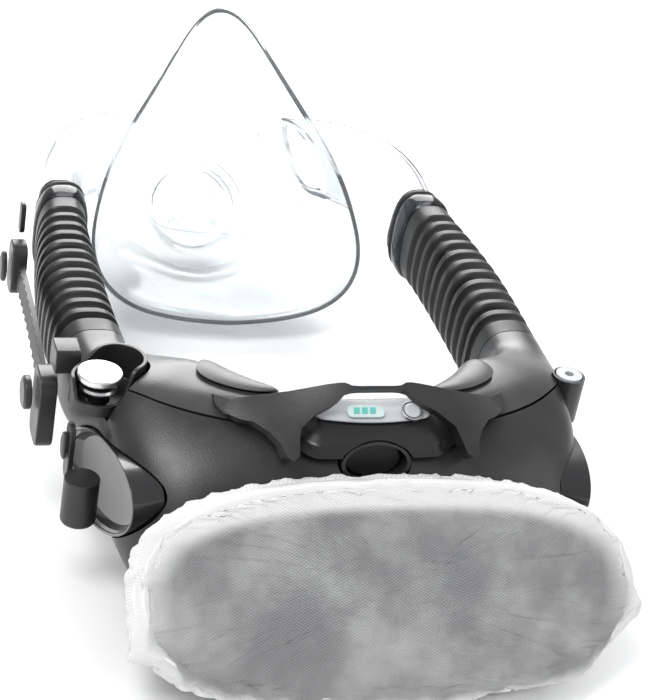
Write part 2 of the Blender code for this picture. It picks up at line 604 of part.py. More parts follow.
# ---- blower inside the back shell ---------------------------------------------------------------
def build_blower(back_shell):
    seat = FILTER.moved(up=INTAKE_UP, out=-15.0 * MM)
    hole = disc_shape(seat, [(SPIGOT_RADIUS + 3 * MM, -9 * MM), (SPIGOT_RADIUS + 3 * MM, 6 * MM)], 32)
    cut(back_shell, solid("intake_hole", *hole, None))
    collar = tube_profile(SPIGOT_RADIUS + 1.5 * GAP, SPIGOT_RADIUS + 2.5 * MM, -3.4 * MM, 1.4 * MM)
    solid("intake_collar", *turned_ring_shape(seat, collar, 24), "gloss_black")

    base = seat.moved(out=-4.4 * MM)
    floor = -BLOWER_DEPTH
    outer = BLOWER_RADIUS
    inner = BLOWER_RADIUS - 1.2 * MM
    volute = [(outer, 0.0), (outer, floor), (3.0 * MM, floor), (3.0 * MM, floor + 1.2 * MM), (inner, floor + 1.2 * MM), (inner, 0.0)]
    solid("blower_volute", *turned_ring_shape(base, volute, 24), "satin_black")
    grille = [(inner - GAP, -0.2 * MM), (inner - GAP, -1.2 * MM), (12.5 * MM, -1.2 * MM), (12.5 * MM, -0.2 * MM)]
    solid("blower_inlet_plate", *turned_ring_shape(base, grille, 24), "satin_black")

    hub = base.moved(out=floor + 1.2 * MM)
    solid("motor_stator", *turned_ring_shape(hub, tube_profile(2.5 * MM + GAP, 6.4 * MM, GAP, 4.4 * MM), 20), "copper")
    bearing = tube_profile(SHAFT_RADIUS + GAP, 2.5 * MM, 0.6 * MM, 3.0 * MM)
    solid("motor_bearing", *turned_ring_shape(hub, bearing, 20), "bright_steel")
    shaft = [(SHAFT_RADIUS, -0.6 * MM), (SHAFT_RADIUS, 5.2 * MM)]
    solid("motor_shaft", *disc_shape(hub, shaft, 16), "bright_steel")
    plate_low, plate_high = 5.6 * MM, 6.6 * MM
    fan = disc_shape(hub, [(16.0 * MM, plate_low), (16.0 * MM, plate_high)], 28)
    wheel = solid("impeller", *fan, "white_plastic")
    blades = 9
    for blade in range(blades):
        turn = blade * 2 * math.pi / blades
        radius = np.linspace(6.0 * MM, 15.2 * MM, 4)
        sweep = turn + 0.9 * (radius / (15.2 * MM)) ** 1.5
        half = 0.45 * MM / radius
        outline = [(r * math.cos(a + h), r * math.sin(a + h)) for r, a, h in zip(radius, sweep, half)]
        outline += [(r * math.cos(a - h), r * math.sin(a - h)) for r, a, h in zip(radius[::-1], sweep[::-1], half[::-1])]
        vane = solid(f"vane_{blade}", *plate_shape(hub, outline, plate_high - 0.3 * MM, plate_high + 3.0 * MM), None)
        vane.hide_render = True
        vane.display_type = "WIRE"
        join = wheel.modifiers.new(f"vane_{blade}", "BOOLEAN")
        join.operation = "UNION"
        join.solver = "EXACT"
        join.object = vane


# ---- power: cells and board ---------------------------------------------------------------------
PACK_HALF = (9.5 * MM, 15.0 * MM)  # across the ray and up
PACK_LENGTH = 40.0 * MM
PACK_SPOT = (74.0 * MM, 24.0 * MM)  # distance from the neck's centre, height
PACK_BEARING = math.radians(42.0)


def build_power():
    for side, word in ((-1, "left"), (1, "right")):
        distance, height = PACK_SPOT
        x = side * distance * math.sin(PACK_BEARING)
        y = NECK_CENTRE_Y - distance * math.cos(PACK_BEARING)
        along = np.array([side * math.cos(PACK_BEARING), math.sin(PACK_BEARING), 0.0])
        frame = Frame((x, y, height), np.cross(along, (0, 0, 1)), (0, 0, 1), along)
        outline = rounded_outline(*PACK_HALF, 8.0 * MM, 4)
        pack = plate_shape(frame, outline, -PACK_LENGTH / 2, PACK_LENGTH / 2)
        solid(f"battery_pack_{word}", *pack, "cell_wrap")
    board_half = (19.0 * MM, 5.0 * MM)
    board = leaning((0.0, -58.0 * MM, 46.0 * MM), -1)
    outline = rounded_outline(*board_half, 1.0 * MM, 2)
    solid("circuit_board", *plate_shape(board, outline, -0.6 * MM, 0.6 * MM), "board_green")


# ---- side covers --------------------------------------------------------------------------------
SIDE_COVER_HALF = (34.5 * MM, 15.5 * MM)
SIDE_COVER_SPOT = (78.4 * MM, -40.0 * MM, 23.2 * MM)
SIDE_COVER_TURN = math.radians(-20.0)  # the cover's rear end is the higher one
SIDE_COVER_TOE = math.radians(8.0)  # and the nearer one to the middle


def side_cover_frame(side):
    x, y, z = SIDE_COVER_SPOT
    out = np.array([side * math.cos(SIDE_COVER_TOE), -math.sin(SIDE_COVER_TOE), 0.0])
    level = np.array([side * math.sin(SIDE_COVER_TOE), math.cos(SIDE_COVER_TOE), 0.0])
    upward = np.array([0.0, 0.0, 1.0])
    across = level * math.cos(SIDE_COVER_TURN) + upward * math.sin(SIDE_COVER_TURN)
    up = upward * math.cos(SIDE_COVER_TURN) - level * math.sin(SIDE_COVER_TURN)
    return Frame((side * x, y, z), across, up, out)


def build_side_covers(back_shell):
    for side, word in ((-1, "left"), (1, "right")):
        frame = side_cover_frame(side)
        squash = SIDE_COVER_HALF[1] / SIDE_COVER_HALF[0]
        size = SIDE_COVER_HALF[0]
        hole = [(size + GAP / squash, -12 * MM), (size + GAP / squash, 12 * MM)]
        cut(back_shell, solid(f"side_hole_{word}", *disc_shape(frame, hole, 24, squash), None))
        skirt = size - 1.6 * MM
        rings = [(size * 0.45, -6.4 * MM), (size * 0.80, -5.2 * MM), (skirt, -3.6 * MM), (skirt, -9.0 * MM)]
        rings += [(size, -9.0 * MM), (size, 1.2 * MM), (size * 0.95, 0.8 * MM), (size * 0.82, -3.0 * MM)]
        rings += [(size * 0.45, -4.6 * MM)]
        solid(f"side_cover_{word}", *disc_shape(frame, rings, 24, squash), "gloss_black")


# ---- hoses --------------------------------------------------------------------------------------
def hose_path(side, share):
    """Centre line of a hose from the port (share 0) to the front cuff (share 1)."""
    x = side * (PORT_X + 2.5 * MM * np.sin(math.pi * share) - 3.5 * MM * share)
    y = NECK_CENTRE_Y + HOSE_LENGTH * share
    z = PORT_Z + HOSE_CLIMB * share
    return np.stack([x, y, z], axis=-1)


def hose_rings(side, share, grow, sides=14):
    """Oval rings round the hose's centre line, each grown by its own amount."""
    angle = np.arange(sides) * 2 * math.pi / sides
    rings = []
    for place, extra in zip(share, grow):
        centre = hose_path(side, np.array(place))
        width = HOSE_WIDTH + (CUFF_WIDTH - HOSE_WIDTH) * smoothstep((place - 0.35) / 0.65)
        across, up = oval(angle, width / 2 + extra, HOSE_HEIGHT / 2 + extra)
        rings.append(centre + np.stack([across, 0 * across, up], axis=-1))
    return np.array(rings)


HOSE_GAP = GAP / HOSE_LENGTH
CUFF_LENGTH = 9.0 * MM
CUFF_START = 1 - CUFF_LENGTH / HOSE_LENGTH
BELLOWS_START = 0.075  # shares of the hose: plain cuff, ribs, plain cuff
BELLOWS_END = CUFF_START - 0.05
RIB_DEPTH = 2.2 * MM


def build_hoses():
    for side, word in ((-1, "left"), (1, "right")):
        share, grow = [HOSE_GAP, BELLOWS_START], [0.0, 0.0]
        pitch = (BELLOWS_END - BELLOWS_START) / HOSE_RIBS
        for rib in range(HOSE_RIBS):
            start = BELLOWS_START + rib * pitch
            share += [start + 0.3 * pitch, start + 0.8 * pitch]
            grow += [-RIB_DEPTH, 0.0]
        share.append(CUFF_START - HOSE_GAP)
        grow.append(0.0)
        bore = [-RIB_DEPTH - 1.5 * MM] * 3
        back = [share[-1], 0.5, share[0]]
        wall = hose_rings(side, share + back, grow + bore)
        solid(f"bellows_{word}", *ring_shape(wall.transpose(1, 0, 2)), "rubber_black")
        spigot = np.array([-WALL - 1.5 * GAP, -RIB_DEPTH - 1.5 * MM - GAP, -RIB_DEPTH - 1.5 * MM - GAP])
        place = [-0.045, -0.008, 0.05]
        hollow = hose_rings(side, place, spigot - 1.2 * MM)
        spigot = hose_rings(side, place, spigot)
        solid(f"port_spigot_{word}", *wall_shape(spigot, hollow, closed=True), "gloss_black")


def duct_centre(side, share):
    """Centre line of a clear duct, from the cuff round to the side of the mask."""
    start = hose_path(side, np.array(1.0))
    points = np.array(
        [
            start + (0.0, -4.0 * MM, 0.0),
            start + (0.0, 12.0 * MM, 0.6 * MM),
            (side * 67.0 * MM, 130.0 * MM, 46.0 * MM),
            (side * 57.0 * MM, 147.0 * MM, 46.0 * MM),
            (side * 42.0 * MM, 160.0 * MM, 44.0 * MM),
            (side * 22.0 * MM, 167.0 * MM, 41.0 * MM),
        ]
    )
    at = np.linspace(0, 1, len(points))
    fine = [np.interp(share, at, points[:, axis]) for axis in range(3)]
    return np.stack(fine, axis=-1)


def duct_rings(side, share, shrink, sides=14):
    angle = np.arange(sides) * 2 * math.pi / sides
    rings = []
    for place in share:
        spread = np.linspace(-0.12, 0.12, 9) + place
        centre = duct_centre(side, np.clip(spread, 0.0, 1.0)).mean(axis=0)
        ahead = duct_centre(side, np.clip(spread + 0.06, 0.0, 1.0)).mean(axis=0)
        behind = duct_centre(side, np.clip(spread - 0.06, 0.0, 1.0)).mean(axis=0)
        way = ahead - behind
        way /= np.linalg.norm(way)
        wide = np.cross(way, (0.0, 0.0, 1.0))
        wide /= np.linalg.norm(wide)
        tall = np.cross(wide, way)
        across, up = oval(angle, CUFF_WIDTH / 2 - 0.6 * MM - shrink, HOSE_HEIGHT / 2 - 0.6 * MM - shrink)
        rings.append(centre + np.outer(across, wide) + np.outer(up, tall))
    return np.array(rings)


DUCT_WALL = 1.8 * MM


def build_ducts(mask_cutter):
    for side, word in ((-1, "left"), (1, "right")):
        share = np.linspace(0.13, 1.0, 8)
        outer = duct_rings(side, share, 0.0)
        inner = duct_rings(side, share, DUCT_WALL)
        duct = solid(f"clear_duct_{word}", *wall_shape(outer, inner, closed=True), "clear_silicone")
        cut(duct, mask_cutter)
        place = np.array([CUFF_START, CUFF_START + 0.02, 1.0 - HOSE_GAP])
        cuff = hose_rings(side, place, [0.6 * MM, 1.0 * MM, 0.6 * MM])
        bore = hose_rings(side, place, [-0.6 * MM, -0.6 * MM, -0.6 * MM])
        solid(f"front_cuff_{word}", *wall_shape(cuff, bore, closed=True), "gloss_black")
        bead = [1.0, 1.0 + 2.4 * MM / HOSE_LENGTH]
        ring = hose_rings(side, bead, [0.5 * MM, 0.5 * MM])
        hollow = hose_rings(side, bead, [-0.6 * MM, -0.6 * MM])
        solid(f"o_ring_{word}", *wall_shape(ring, hollow, closed=True), "rubber_black")


# ---- mask ---------------------------------------------------------------------------------------
# half-widths of the seal at heights up its face, as shares of SEAL_HALF_WIDTH and SEAL_HEIGHT
SEAL_UP = np.array([0.0, 0.012, 0.04, 0.09, 0.165, 0.26, 0.36, 0.46, 0.58, 0.70, 0.83, 0.93, 0.985, 1.0])
SEAL_WIDE = np.array([0.0, 0.36, 0.66, 0.86, 0.98, 1.0, 0.95, 0.88, 0.74, 0.56, 0.37, 0.22, 0.10, 0.0])
LIP_UP = np.array([0.29, 0.292, 0.30, 0.32, 0.36, 0.42, 0.50, 0.58, 0.66, 0.74, 0.82, 0.89, 0.93, 0.94])
LIP_WIDE = np.array([0.0, 0.22, 0.42, 0.53, 0.58, 0.56, 0.45, 0.30, 0.20, 0.16, 0.13, 0.10, 0.05, 0.0])
SEAL_SIDES = 24
CHIN_FLAT = 1.15  # how much flatter the dome is below the valve


def outline_points(up, wide, sides=SEAL_SIDES):
    """Points evenly round a symmetrical outline, from its lowest point, anticlockwise from the front."""
    right = np.stack([np.array(wide) * SEAL_HALF_WIDTH, np.array(up) * SEAL_HEIGHT], axis=-1)
    loop = np.concatenate([right, right[-2:0:-1] * (-1, 1), right[:1]])
    length = np.concatenate([[0], np.cumsum(np.linalg.norm(np.diff(loop, axis=0), axis=1))])
    at = np.arange(sides) / sides * length[-1]
    return np.stack([np.interp(at, length, loop[:, axis]) for axis in range(2)], axis=-1)


def mask_loop(share, spread=0.0):
    """Ring of the mask's dome: share 0 is the seal's outline and share 1 the valve seat."""
    seal = outline_points(SEAL_UP, SEAL_WIDE)
    middle = np.array([0.0, 0.45 * SEAL_HEIGHT])
    away = seal - middle
    away /= np.linalg.norm(away, axis=1, keepdims=True)
    bearing = np.arctan2(seal[:, 1] - VALVE_UP, seal[:, 0])
    seat = np.stack([np.cos(bearing), np.sin(bearing)], axis=-1) * (VALVE_RADIUS + 1.5 * MM)
    seat[:, 1] += VALVE_UP
    rise = math.sin(share * math.pi / 2) ** 0.9
    low = smoothstep((VALVE_UP - seal[:, 1:]) / VALVE_UP)
    inward = smoothstep(share) * 0.35 + 0.65 * share**2.2
    inward = inward + (rise * 0.9 - inward) * low * CHIN_FLAT * 4 * share * (1 - share)
    flat = seal + (seat - seal) * inward + away * spread * (1 - share)
    out = 2.0 * MM + (MASK_DEPTH - 2.0 * MM) * rise + spread * share
    return MASK.at(flat[:, 0], flat[:, 1], out)


def build_mask():
    shares = np.array([0.0, 0.08, 0.2, 0.35, 0.55, 0.77, 1.0])
    outer = np.array([mask_loop(share) for share in shares])
    inner = np.array([mask_loop(share, -1.8 * MM) for share in shares])
    shell = solid("mask_shell", *wall_shape(outer, inner, closed=True), "clear_silicone")
    for side, word in ((-1, "left"), (1, "right")):
        bore = duct_rings(side, np.linspace(0.5, 1.0, 8), DUCT_WALL + 1.0 * MM)
        cut(shell, solid(f"mask_inlet_{word}", *stack_shape(bore), None))

    grown = np.array([mask_loop(share, 1.5 * GAP) for share in shares])
    blank = solid("mask_blank", *stack_shape(grown), None)
    blank.hide_render = True
    blank.display_type = "WIRE"

    seal = outline_points(SEAL_UP, SEAL_WIDE)
    lip = outline_points(LIP_UP, LIP_WIDE)
    rows = []
    steps = [(0.0, 1.4), (0.02, -0.2), (0.10, -1.2), (0.35, -0.4), (0.7, 2.5), (1.0, 7.0)]
    for share, out in steps:
        flat = seal + (lip - seal) * share
        rows.append(MASK.at(flat[:, 0], flat[:, 1], out * MM))
    for share, out in steps[::-1]:
        flat = seal + (lip - seal) * np.clip(share, 0.035, 0.995)
        rows.append(MASK.at(flat[:, 0], flat[:, 1], (out + (1.3 if share > 0.05 else 0.2)) * MM))
    rows = np.array(rows[:-2] + rows[-1:])
    solid("face_seal", *ring_shape(rows.transpose(1, 0, 2)), "clear_silicone")
    return blank


def build_valve():
    seat = MASK.moved(up=VALVE_UP, out=MASK_DEPTH)
    r = VALVE_RADIUS
    ring = [(r, -1.6 * MM), (r, 2.6 * MM), (r - 1.5 * MM, 2.6 * MM), (r - 1.5 * MM, 0.8 * MM)]
    ring += [(10.0 * MM, 0.8 * MM), (10.0 * MM, -0.6 * MM), (r - 1.5 * MM, -1.6 * MM)]
    solid("valve_seat", *turned_ring_shape(seat, ring, 24), "clear_silicone")
    flap = [(12.6 * MM, 1.2 * MM), (12.6 * MM, 1.9 * MM)]
    solid("valve_flap", *disc_shape(seat, flap, 28), "clear_silicone")
    cover = seat.moved(out=4.0 * MM)
    rim = [(r - 0.2 * MM, -1.1 * MM), (r - 0.2 * MM, 1.6 * MM), (r - 2.0 * MM, 2.2 * MM), (r - 2.6 * MM, 1.2 * MM)]
    rim += [(r - 2.6 * MM, -1.1 * MM)]
    shape = solid("valve_guard", *turned_ring_shape(cover, rim, 24), "clear_silicone")
    hub = solid("guard_hub", *disc_shape(cover, [(4.3 * MM, 0.6 * MM), (4.3 * MM, 2.0 * MM)], 20), None)
    pieces = [hub]
    for spoke in range(3):
        angle = math.pi / 2 + spoke * math.pi * 2 / 3
        turn = Frame(cover.origin, *turned_axes(cover, angle))
        bar = rounded_outline((r - 5.0 * MM) / 2, 1.0 * MM, 0.3 * MM, 1)
        bar[:, 0] += r / 2 + 0.6 * MM
        pieces.append(solid(f"guard_spoke_{spoke}", *plate_shape(turn, bar, 0.7 * MM, 1.5 * MM), None))
    for piece in pieces:
        piece.hide_render = True
        piece.display_type = "WIRE"
        join = shape.modifiers.new("join_" + piece.name, "BOOLEAN")
        join.operation = "UNION"
        join.solver = "EXACT"
        join.object = piece


def turned_axes(frame, angle):
    across, up, out = frame.axes
    return across * math.cos(angle) + up * math.sin(angle), up * math.cos(angle) - across * math.sin(angle), out


# ---- neck pads ----------------------------------------------------------------------------------
def build_pads():
    for side, word in ((-1, "left"), (1, "right")):
        middle, reach = math.radians(42.0) * side, math.radians(14.0)
        angle = middle + np.linspace(-reach, reach, 9)
        round_end = np.sqrt(np.clip(1 - np.linspace(-0.98, 0.98, 9) ** 2, 0.03, 1))
        knots = 5.6 + np.outer(round_end, np.linspace(-1.6, 1.2, 6))
        solid(f"neck_pad_{word}", *skin_shape(angle, knots, 2.2 * GAP, 2.2 * GAP + 1.2 * MM), "light_grey")


# ---- harness ------------------------------------------------------------------------------------
def build_posts(neck_shell, back_shell):
    right = upright(POST_X, POST_Y, 0.0)
    room = POST_RADIUS + GAP
    pockets = {
        "right": disc_shape(right, [(room, 37.0 * MM), (room, 90.0 * MM)], 30),
        "left": stack_shape(np.array([cup_loop(1.2 * MM, height) for height in (CUP_LOW - MM, 90 * MM)])),
    }
    for word, shape in pockets.items():
        pocket = solid(f"post_pocket_{word}", *shape, None)
        cut(neck_shell, pocket)
        cut(back_shell, pocket)
    cup = [
        (POST_RADIUS, 38.6 * MM), (POST_RADIUS, POST_TOP - 0.5 * MM), (POST_RADIUS - 0.7 * MM, POST_TOP - 0.5 * MM),
        (POST_RADIUS - 0.7 * MM, POST_TOP - 2.4 * MM), (1.5 * MM, POST_TOP - 2.4 * MM), (1.5 * MM, 38.6 * MM),
    ]
    solid("harness_post_right", *turned_ring_shape(right, cup, 20), "satin_black")
    cap = tube_profile(1.5 * MM, POST_RADIUS - 0.7 * MM - GAP, POST_TOP - 2.0 * MM, POST_TOP)
    solid("post_cap_right", *turned_ring_shape(right, cap, 20), "light_grey")


ARM_X = -91.5 * MM
STRAP_HALF = 4.5 * MM
CUP_LOW = 45.6 * MM  # underside of the pivot cup
CUP_WALL = 1.3 * MM
CUP_FAR = (-73.0 * MM, -24.0 * MM, 8.8 * MM)  # wide end: x, y and radius outside
CUP_NEAR = 9.0 * MM  # radius outside, round the pivot
BUTTON_TRAVEL = 1.0 * MM


def box_shape(frame, half_across, half_up, low, high, corner):
    return plate_shape(frame, rounded_outline(half_across, half_up, corner, 3), low, high)


def cup_loop(grow, height, sides=24):
    """Teardrop round the left post: the outline that holds a small circle and a wider one."""
    near = np.array([-POST_X, POST_Y])
    far = np.array(CUP_FAR[:2])
    middle = (near + far) / 2
    bearing = np.linspace(0, 2 * math.pi, sides, endpoint=False)
    ray = np.stack([np.cos(bearing), np.sin(bearing)], axis=-1)
    reach = np.zeros(sides)
    for share in np.linspace(0, 1, 25):
        offset = near + (far - near) * share - middle
        radius = CUP_NEAR + (CUP_FAR[2] - CUP_NEAR) * share + grow
        ahead = ray @ offset
        reach = np.maximum(reach, ahead + np.sqrt(radius**2 - offset @ offset + ahead**2))
    return np.column_stack([middle + ray * reach[:, None], np.full(sides, height)])


def cup_rim(loop):
    """Height of the cup's rim: high round the wide end, low in front of the pivot."""
    near = np.array([-POST_X, POST_Y])
    way = np.array(CUP_FAR[:2]) - near
    along = (loop[:, :2] - near) @ way / (way @ way)
    front = smoothstep((near[1] - 1.0 * MM - loop[:, 1]) / (4 * MM)) * (1 - smoothstep((along - 0.2) / 0.6))
    return (55.4 + 3.6 * smoothstep((along + 0.2) / 1.3) - 6.0 * front) * MM


def build_harness():
    post = upright(-POST_X, POST_Y, 0.0)
    stem = [(3.2 * MM, CUP_LOW - 0.6 * MM), (3.2 * MM, 54.0 * MM)]
    solid("harness_post_left", *disc_shape(post, stem, 20), "satin_black")
    knob = [(7.0 * MM, 54.6 * MM), (7.2 * MM, 55.2 * MM), (7.2 * MM, 56.6 * MM), (6.9 * MM, 57.0 * MM)]
    solid("pivot_knob", *disc_shape(post, knob, 28), "bright_steel")
    outer_top, inner_top = cup_loop(0.0, 0.0), cup_loop(-CUP_WALL, 0.0)
    away = np.linspace(0, 2 * math.pi, len(outer_top), endpoint=False)
    hole = post.at(3.7 * MM * np.cos(away), 3.7 * MM * np.sin(away), 0.0)
    rows = []
    for loop, height in (
        (outer_top, CUP_LOW),
        (outer_top, cup_rim(outer_top)),
        (inner_top, cup_rim(outer_top)),
        (inner_top, CUP_LOW + 1.4 * MM),
        (hole, CUP_LOW + 1.4 * MM),
        (hole, CUP_LOW),
    ):
        rows.append(np.stack([loop[:, 0], loop[:, 1], height + 0 * loop[:, 0]], axis=-1))
    solid("pivot_cup", *ring_shape(np.array(rows).transpose(1, 0, 2)), "satin_black")

    bend = np.radians(np.linspace(-190.0, 10.0, 14))
    rings = []
    for angle in bend:
        middle = post.at(5.2 * MM * math.cos(angle), 5.2 * MM * math.sin(angle), 51.6 * MM)
        outward = np.array([math.cos(angle), math.sin(angle), 0.0])
        turn = np.arange(6) * math.pi / 3
        rings.append(middle + 0.9 * MM * (np.outer(np.cos(turn), outward) + np.outer(np.sin(turn), (0, 0, 1))))
    solid("spring_clip", *stack_shape(np.array(rings)), "bright_steel")

    side = sideways(ARM_X, 0.0, 0.0, -1)
    link = box_shape(side.moved(-14.4 * MM, 53.5 * MM), 5.0 * MM, 4.2 * MM, -7.6 * MM, 0.4 * MM, 1.2 * MM)
    solid("link_block", *link, "satin_black")
    block = box_shape(side.moved(-11 * MM, 33 * MM), 7 * MM, 13 * MM, -1.6 * MM, 4.0 * MM, 4 * MM)
    solid("buckle_block", *block, "satin_black")
    button = [(5.6, 4.4), (5.6, 6.4), (4.6, 7.0)]
    button = [(radius * MM, height * MM + BUTTON_TRAVEL) for radius, height in button]
    solid("buckle_button", *disc_shape(side.moved(-8 * MM, 36 * MM), button, 24), "satin_black")

    along = np.linspace(0, 1, 25)
    y = (-3.4 + 58.0 * along) * MM
    z = (37.0 + 7.0 * along + 2.0 * np.sin(math.pi * along)) * MM
    tooth = np.where(np.arange(25) % 2 == 0, 0.0, 0.7 * MM)
    grids = []
    for out in (1.2 * MM + tooth, -0.4 * MM + 0 * tooth):
        grids.append(np.stack([side.at(y, z - STRAP_HALF, out), side.at(y, z + STRAP_HALF, out)], axis=1))
    solid("ladder_strap", *wall_shape(*grids), "satin_black")

    clip_spot = side.moved(60 * MM, 45 * MM)
    solid("clip_body", *box_shape(clip_spot, 5.0 * MM, 9.5 * MM, -1.6 * MM, 3.6 * MM, 3.5 * MM), "satin_black")
    button = [(3.8, 4.0), (3.8, 5.4), (3.0, 5.9)]
    button = [(radius * MM, height * MM + BUTTON_TRAVEL) for radius, height in button]
    solid("clip_button", *disc_shape(clip_spot, button, 20, 1.5), "satin_black")
    tab = box_shape(side.moved(66 * MM, 61 * MM), 2.2 * MM, 5.5 * MM, -1.2 * MM, 0.6 * MM, 1.5 * MM)
    solid("clip_tab", *tab, "satin_black")

    lower = side.moved(-34.5 * MM, 31 * MM)
    solid("lower_strap", *box_shape(lower, 3.6 * MM, 10.0 * MM, -4.6 * MM, -2.8 * MM, 3.4 * MM), "satin_black")
    stud = [(3.0, -2.4), (3.0, -1.4), (2.2, -1.0)]
    stud = [(radius * MM, height * MM) for radius, height in stud]
    solid("strap_stud", *disc_shape(lower.moved(up=2 * MM), stud, 20, 1.6), "satin_black")
    peg = upright(-86.2 * MM, -49.6 * MM, 0.0)
    peg_sides = [(5.0 * MM, 15.0 * MM), (5.6 * MM, 15.8 * MM), (5.6 * MM, 31.0 * MM)]
    solid("strap_peg", *disc_shape(peg, peg_sides, 24), "satin_black")


# ---- joints: the pieces that move hang from an empty on the joint's axis ------------------------
TILT_AXIS = (0.0, 55.0 * MM, 37.0 * MM)  # the mask tilts about the middle of the two hoses


def hang(joint, place, pieces):
    pivot = bpy.data.objects.new(joint, None)
    bpy.context.scene.collection.objects.link(pivot)
    pivot.empty_display_size = 10 * MM
    pivot.parent = RIG
    pivot.location = place
    for name in pieces.split():
        piece = bpy.data.objects[name]
        piece.data.transform(Matrix.Translation(-Vector(place)))
        piece.parent = pivot


def place_joints():
    seat = MASK.moved(up=VALVE_UP, out=MASK_DEPTH)
    fan = FILTER.moved(up=INTAKE_UP, out=-31.0 * MM)
    key = keypad_frame(BUTTON_ANGLE, KEYPAD_TOP + 0.58 * KEYPAD_DROP)
    masks = "mask_shell face_seal valve_seat valve_guard clear_duct_left clear_duct_right"
    hang("mask_tilt", TILT_AXIS, masks + " front_cuff_left front_cuff_right o_ring_left o_ring_right")
    hang("valve_lift", seat.origin, "valve_flap")
    hang("impeller_spin", fan.origin, "impeller motor_shaft")
    hang("power_press", key.origin, "power_button")
    hang("harness_swing", (-POST_X, POST_Y, 53.5 * MM), "link_block buckle_block")
    hang("strap_adjust", (ARM_X, 30.0 * MM, 41.0 * MM), "ladder_strap clip_body clip_tab")
    hang("buckle_press", (ARM_X, -8.0 * MM, 36.0 * MM), "buckle_button")
    hang("clip_press", (ARM_X, 60.0 * MM, 45.0 * MM), "clip_button")
    covers = "prefilter_cover cover_elastic"
    hang("filter_release", FILTER.origin, "filter_tray filter_retaining_ring filter_pleats " + covers)


def clear_scene():
    for obj in list(bpy.data.objects):
        bpy.data.objects.remove(obj)


def set_down():
    """Moves the rig so that the bottom centre of its box is the world origin."""
    bpy.context.view_layer.update()
    graph = bpy.context.evaluated_depsgraph_get()
    low, high = np.full(3, np.inf), np.full(3, -np.inf)
    for obj in bpy.data.objects:
        if obj.type != "MESH" or obj.hide_render:
            continue
        for vertex in obj.evaluated_get(graph).data.vertices:
            place = np.array(obj.matrix_world @ vertex.co)
            low, high = np.minimum(low, place), np.maximum(high, place)
    RIG.location = (-(low[0] + high[0]) / 2, -(low[1] + high[1]) / 2, -low[2])


def main():
    global RIG
    clear_scene()
    RIG = bpy.data.objects.new("respirator", None)
    bpy.context.scene.collection.objects.link(RIG)
    neck_shell, back_shell = build_shells()
    console = build_console()
    build_controls(console, back_shell)
    build_yoke()
    build_filter()
    build_blower(back_shell)
    build_power()
    build_side_covers(back_shell)
    build_hoses()
    blank = build_mask()
    build_ducts(blank)
    build_valve()
    build_pads()
    build_posts(neck_shell, back_shell)
    build_harness()
    place_joints()
    set_down()


main()
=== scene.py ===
"""Looks of the powered air respirator: finer shells, hoses, clear mask and cloth cover round the CAD frame.

Bench frame, in metres: X = 0 is the plane of symmetry, -Y towards the filter and +Y towards the mask.
BENCH is where that frame's origin lies in the world, taken from the cap of the right post.
"""

import json
import math

import bmesh
import bpy
import numpy as np
from mathutils import Matrix, Vector


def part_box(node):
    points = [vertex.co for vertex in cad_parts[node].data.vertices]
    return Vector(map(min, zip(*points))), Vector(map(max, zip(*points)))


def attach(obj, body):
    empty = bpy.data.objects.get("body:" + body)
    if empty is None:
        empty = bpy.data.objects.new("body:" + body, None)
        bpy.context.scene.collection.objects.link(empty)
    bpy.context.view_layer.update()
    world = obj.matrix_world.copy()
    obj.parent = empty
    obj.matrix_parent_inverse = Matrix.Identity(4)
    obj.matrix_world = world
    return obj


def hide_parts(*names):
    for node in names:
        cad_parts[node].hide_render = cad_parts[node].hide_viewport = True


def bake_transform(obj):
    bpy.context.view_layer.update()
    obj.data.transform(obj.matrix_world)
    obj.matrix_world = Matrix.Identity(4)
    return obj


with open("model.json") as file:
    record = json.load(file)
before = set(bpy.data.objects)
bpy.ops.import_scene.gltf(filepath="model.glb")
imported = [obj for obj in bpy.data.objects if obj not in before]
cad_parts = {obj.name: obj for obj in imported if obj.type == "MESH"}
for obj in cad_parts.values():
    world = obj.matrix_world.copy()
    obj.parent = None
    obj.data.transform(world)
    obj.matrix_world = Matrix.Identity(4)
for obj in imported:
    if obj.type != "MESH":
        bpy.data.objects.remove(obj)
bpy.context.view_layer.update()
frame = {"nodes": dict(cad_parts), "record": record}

MM = 0.001
GAP = 0.4 * MM
WALL = 1.6 * MM
SIDES = ((-1, "left"), (1, "right"))

POST_X, POST_Y, POST_TOP = 79.8 * MM, -29.5 * MM, 55.4 * MM
POST_RADIUS = 5.6 * MM
cap_low, cap_high = (np.array(corner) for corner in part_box("post_cap_right"))
BENCH = np.array([
    (cap_low[0] + cap_high[0]) / 2 - POST_X,
    (cap_low[1] + cap_high[1]) / 2 - POST_Y,
    cap_high[2] - POST_TOP,
])

SLOTS = {entry["node"]: entry["material_slot"] for entry in frame["record"]["subparts"]}
BODIES = {node: body for body, nodes in frame["record"]["behaviour"]["bodies"].items() for node in nodes}


# ---- camera and light ----
VIEW_TURN, VIEW_TILT = math.radians(18.0), math.radians(31.0)
VIEW_PLACE = (-0.1990, -0.5357, 0.3688)
LENS, SENSOR_WIDTH, CLIP_START = 100.0, 36.0, 0.01
SKY_COLOUR, SKY_STRENGTH = (0.97, 0.98, 1.0, 1.0), 0.62
LAMP_AIM = (0.0, 0.0, 0.05)
# Each lamp's place and side in metres, and its power in watts.
LAMPS = {
    "key_light": ((-0.5, -0.35, 0.95), 0.5, 8.0),
    "fill_light": ((0.8, -0.5, 0.5), 0.7, 2.0),
    "back_light": ((0.15, 0.9, 0.6), 0.8, 15.0),
}


def linked(name, data):
    """A new object that holds data, in the scene."""
    obj = bpy.data.objects.new(name, data)
    bpy.context.scene.collection.objects.link(obj)
    return obj


